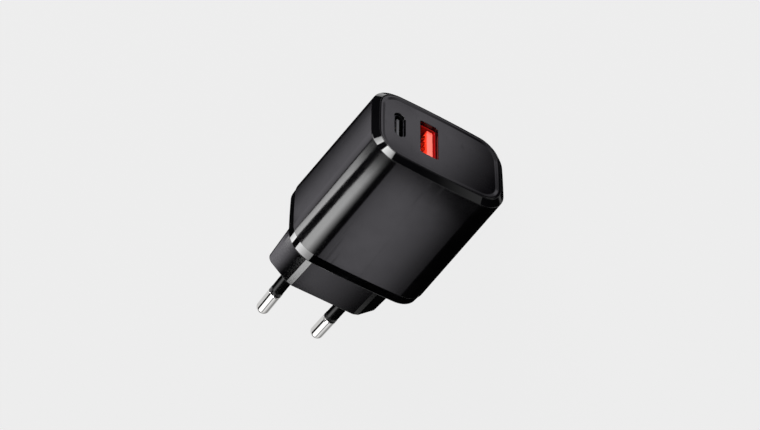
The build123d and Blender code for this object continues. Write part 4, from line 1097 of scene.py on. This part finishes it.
WIRE_PITCH = 0.32
copper_wire, wire_tree, wire_shader = new_finish("copper_wire", (0.60, 0.21, 0.07), 0.26, Metallic=1.0)
turns = wave_in(wire_tree, "Z", math.tau / 20 / (WIRE_PITCH * MM), 0.25)
# painted shade: the wire is dark in the grooves between turns and light on their crests
tinted(wire_tree, wire_shader, turns, (0.68, 0.26, 0.09), (0.22, 0.06, 0.02))
roughened(wire_tree, wire_shader, turns, 0.45, 0.20, 0.0, 1.0)
bump_from(wire_tree, wire_shader, turns, 0.10, 0.9)
dress(copper_wire, "transformer_winding", "filter_inductor_winding")

tape_yellow, tape_tree, tape_shader = new_finish(
    "tape_yellow", (0.78, 0.55, 0.06), 0.20, Coat_Weight=0.2)
tape_grain = place_group(tape_tree, mould_grain, Pit_Scale=700.0, Patch_Scale=220.0)
tape_layers = wave_in(tape_tree, "Z", 90.0, 1.4)
tinted(tape_tree, tape_shader, tape_layers, (0.80, 0.58, 0.08), (0.62, 0.40, 0.04))
roughened(tape_tree, tape_shader, tape_grain.outputs["Height"], 0.14, 0.30)
bump_from(tape_tree, tape_shader, tape_grain.outputs["Height"], 0.05, 0.5)
dress(tape_yellow, "transformer_tape")

# ---------------------------------------------------------------- electrolytic capacitors
# Drawn aluminium cans, closed by rubber bungs. The two on the mains side wear heat-shrunk
# jackets, which pull tight in faint rings.
can_aluminium, can_tree, can_shader = new_finish("can_aluminium", (0.72, 0.72, 0.73), 0.28, Metallic=1.0)
drawn_lines = noise_in(can_tree, 5000.0, 3.0, stretched_place(can_tree, (1.0, 1.0, 0.05)))
tinted(can_tree, can_shader, drawn_lines, (0.80, 0.80, 0.81), (0.60, 0.60, 0.61))
roughened(can_tree, can_shader, drawn_lines, 0.22, 0.38)
bump_from(can_tree, can_shader, drawn_lines, 0.004, 0.5)
dress(can_aluminium, "input_capacitor_cans", "output_capacitor_cans")

jacket_black, jacket_tree, jacket_shader = new_finish("jacket_black", (0.016, 0.016, 0.020), 0.24)
jacket_rings = wave_in(jacket_tree, "X", 110.0, 2.2)
tinted(jacket_tree, jacket_shader, jacket_rings, (0.020, 0.020, 0.026), (0.012, 0.012, 0.015))
roughened(jacket_tree, jacket_shader, jacket_rings, 0.20, 0.30, 0.0, 1.0)
bump_from(jacket_tree, jacket_shader, jacket_rings, 0.02, 0.5)
dress(jacket_black, "input_capacitor_jackets")
dress(speckled("bung_rubber", (0.030, 0.029, 0.028), (0.016, 0.016, 0.016), 0.70, 2600.0, 0.02),
      "input_capacitor_bungs", "output_capacitor_bungs")

# ---------------------------------------------------------------- insulation sheet and thermal pad
# A milky polyester sheet lies under the main board, and a soft grey silicone pad takes the
# transformer's heat to the sleeve.
dress(speckled("sheet_clear", (0.62, 0.64, 0.66), (0.54, 0.56, 0.58), 0.30, 1800.0, 0.01),
      "insulation_sheet")
dress(speckled("pad_grey", (0.30, 0.31, 0.33), (0.22, 0.23, 0.25), 0.75, 3500.0, 0.03), "thermal_pad")
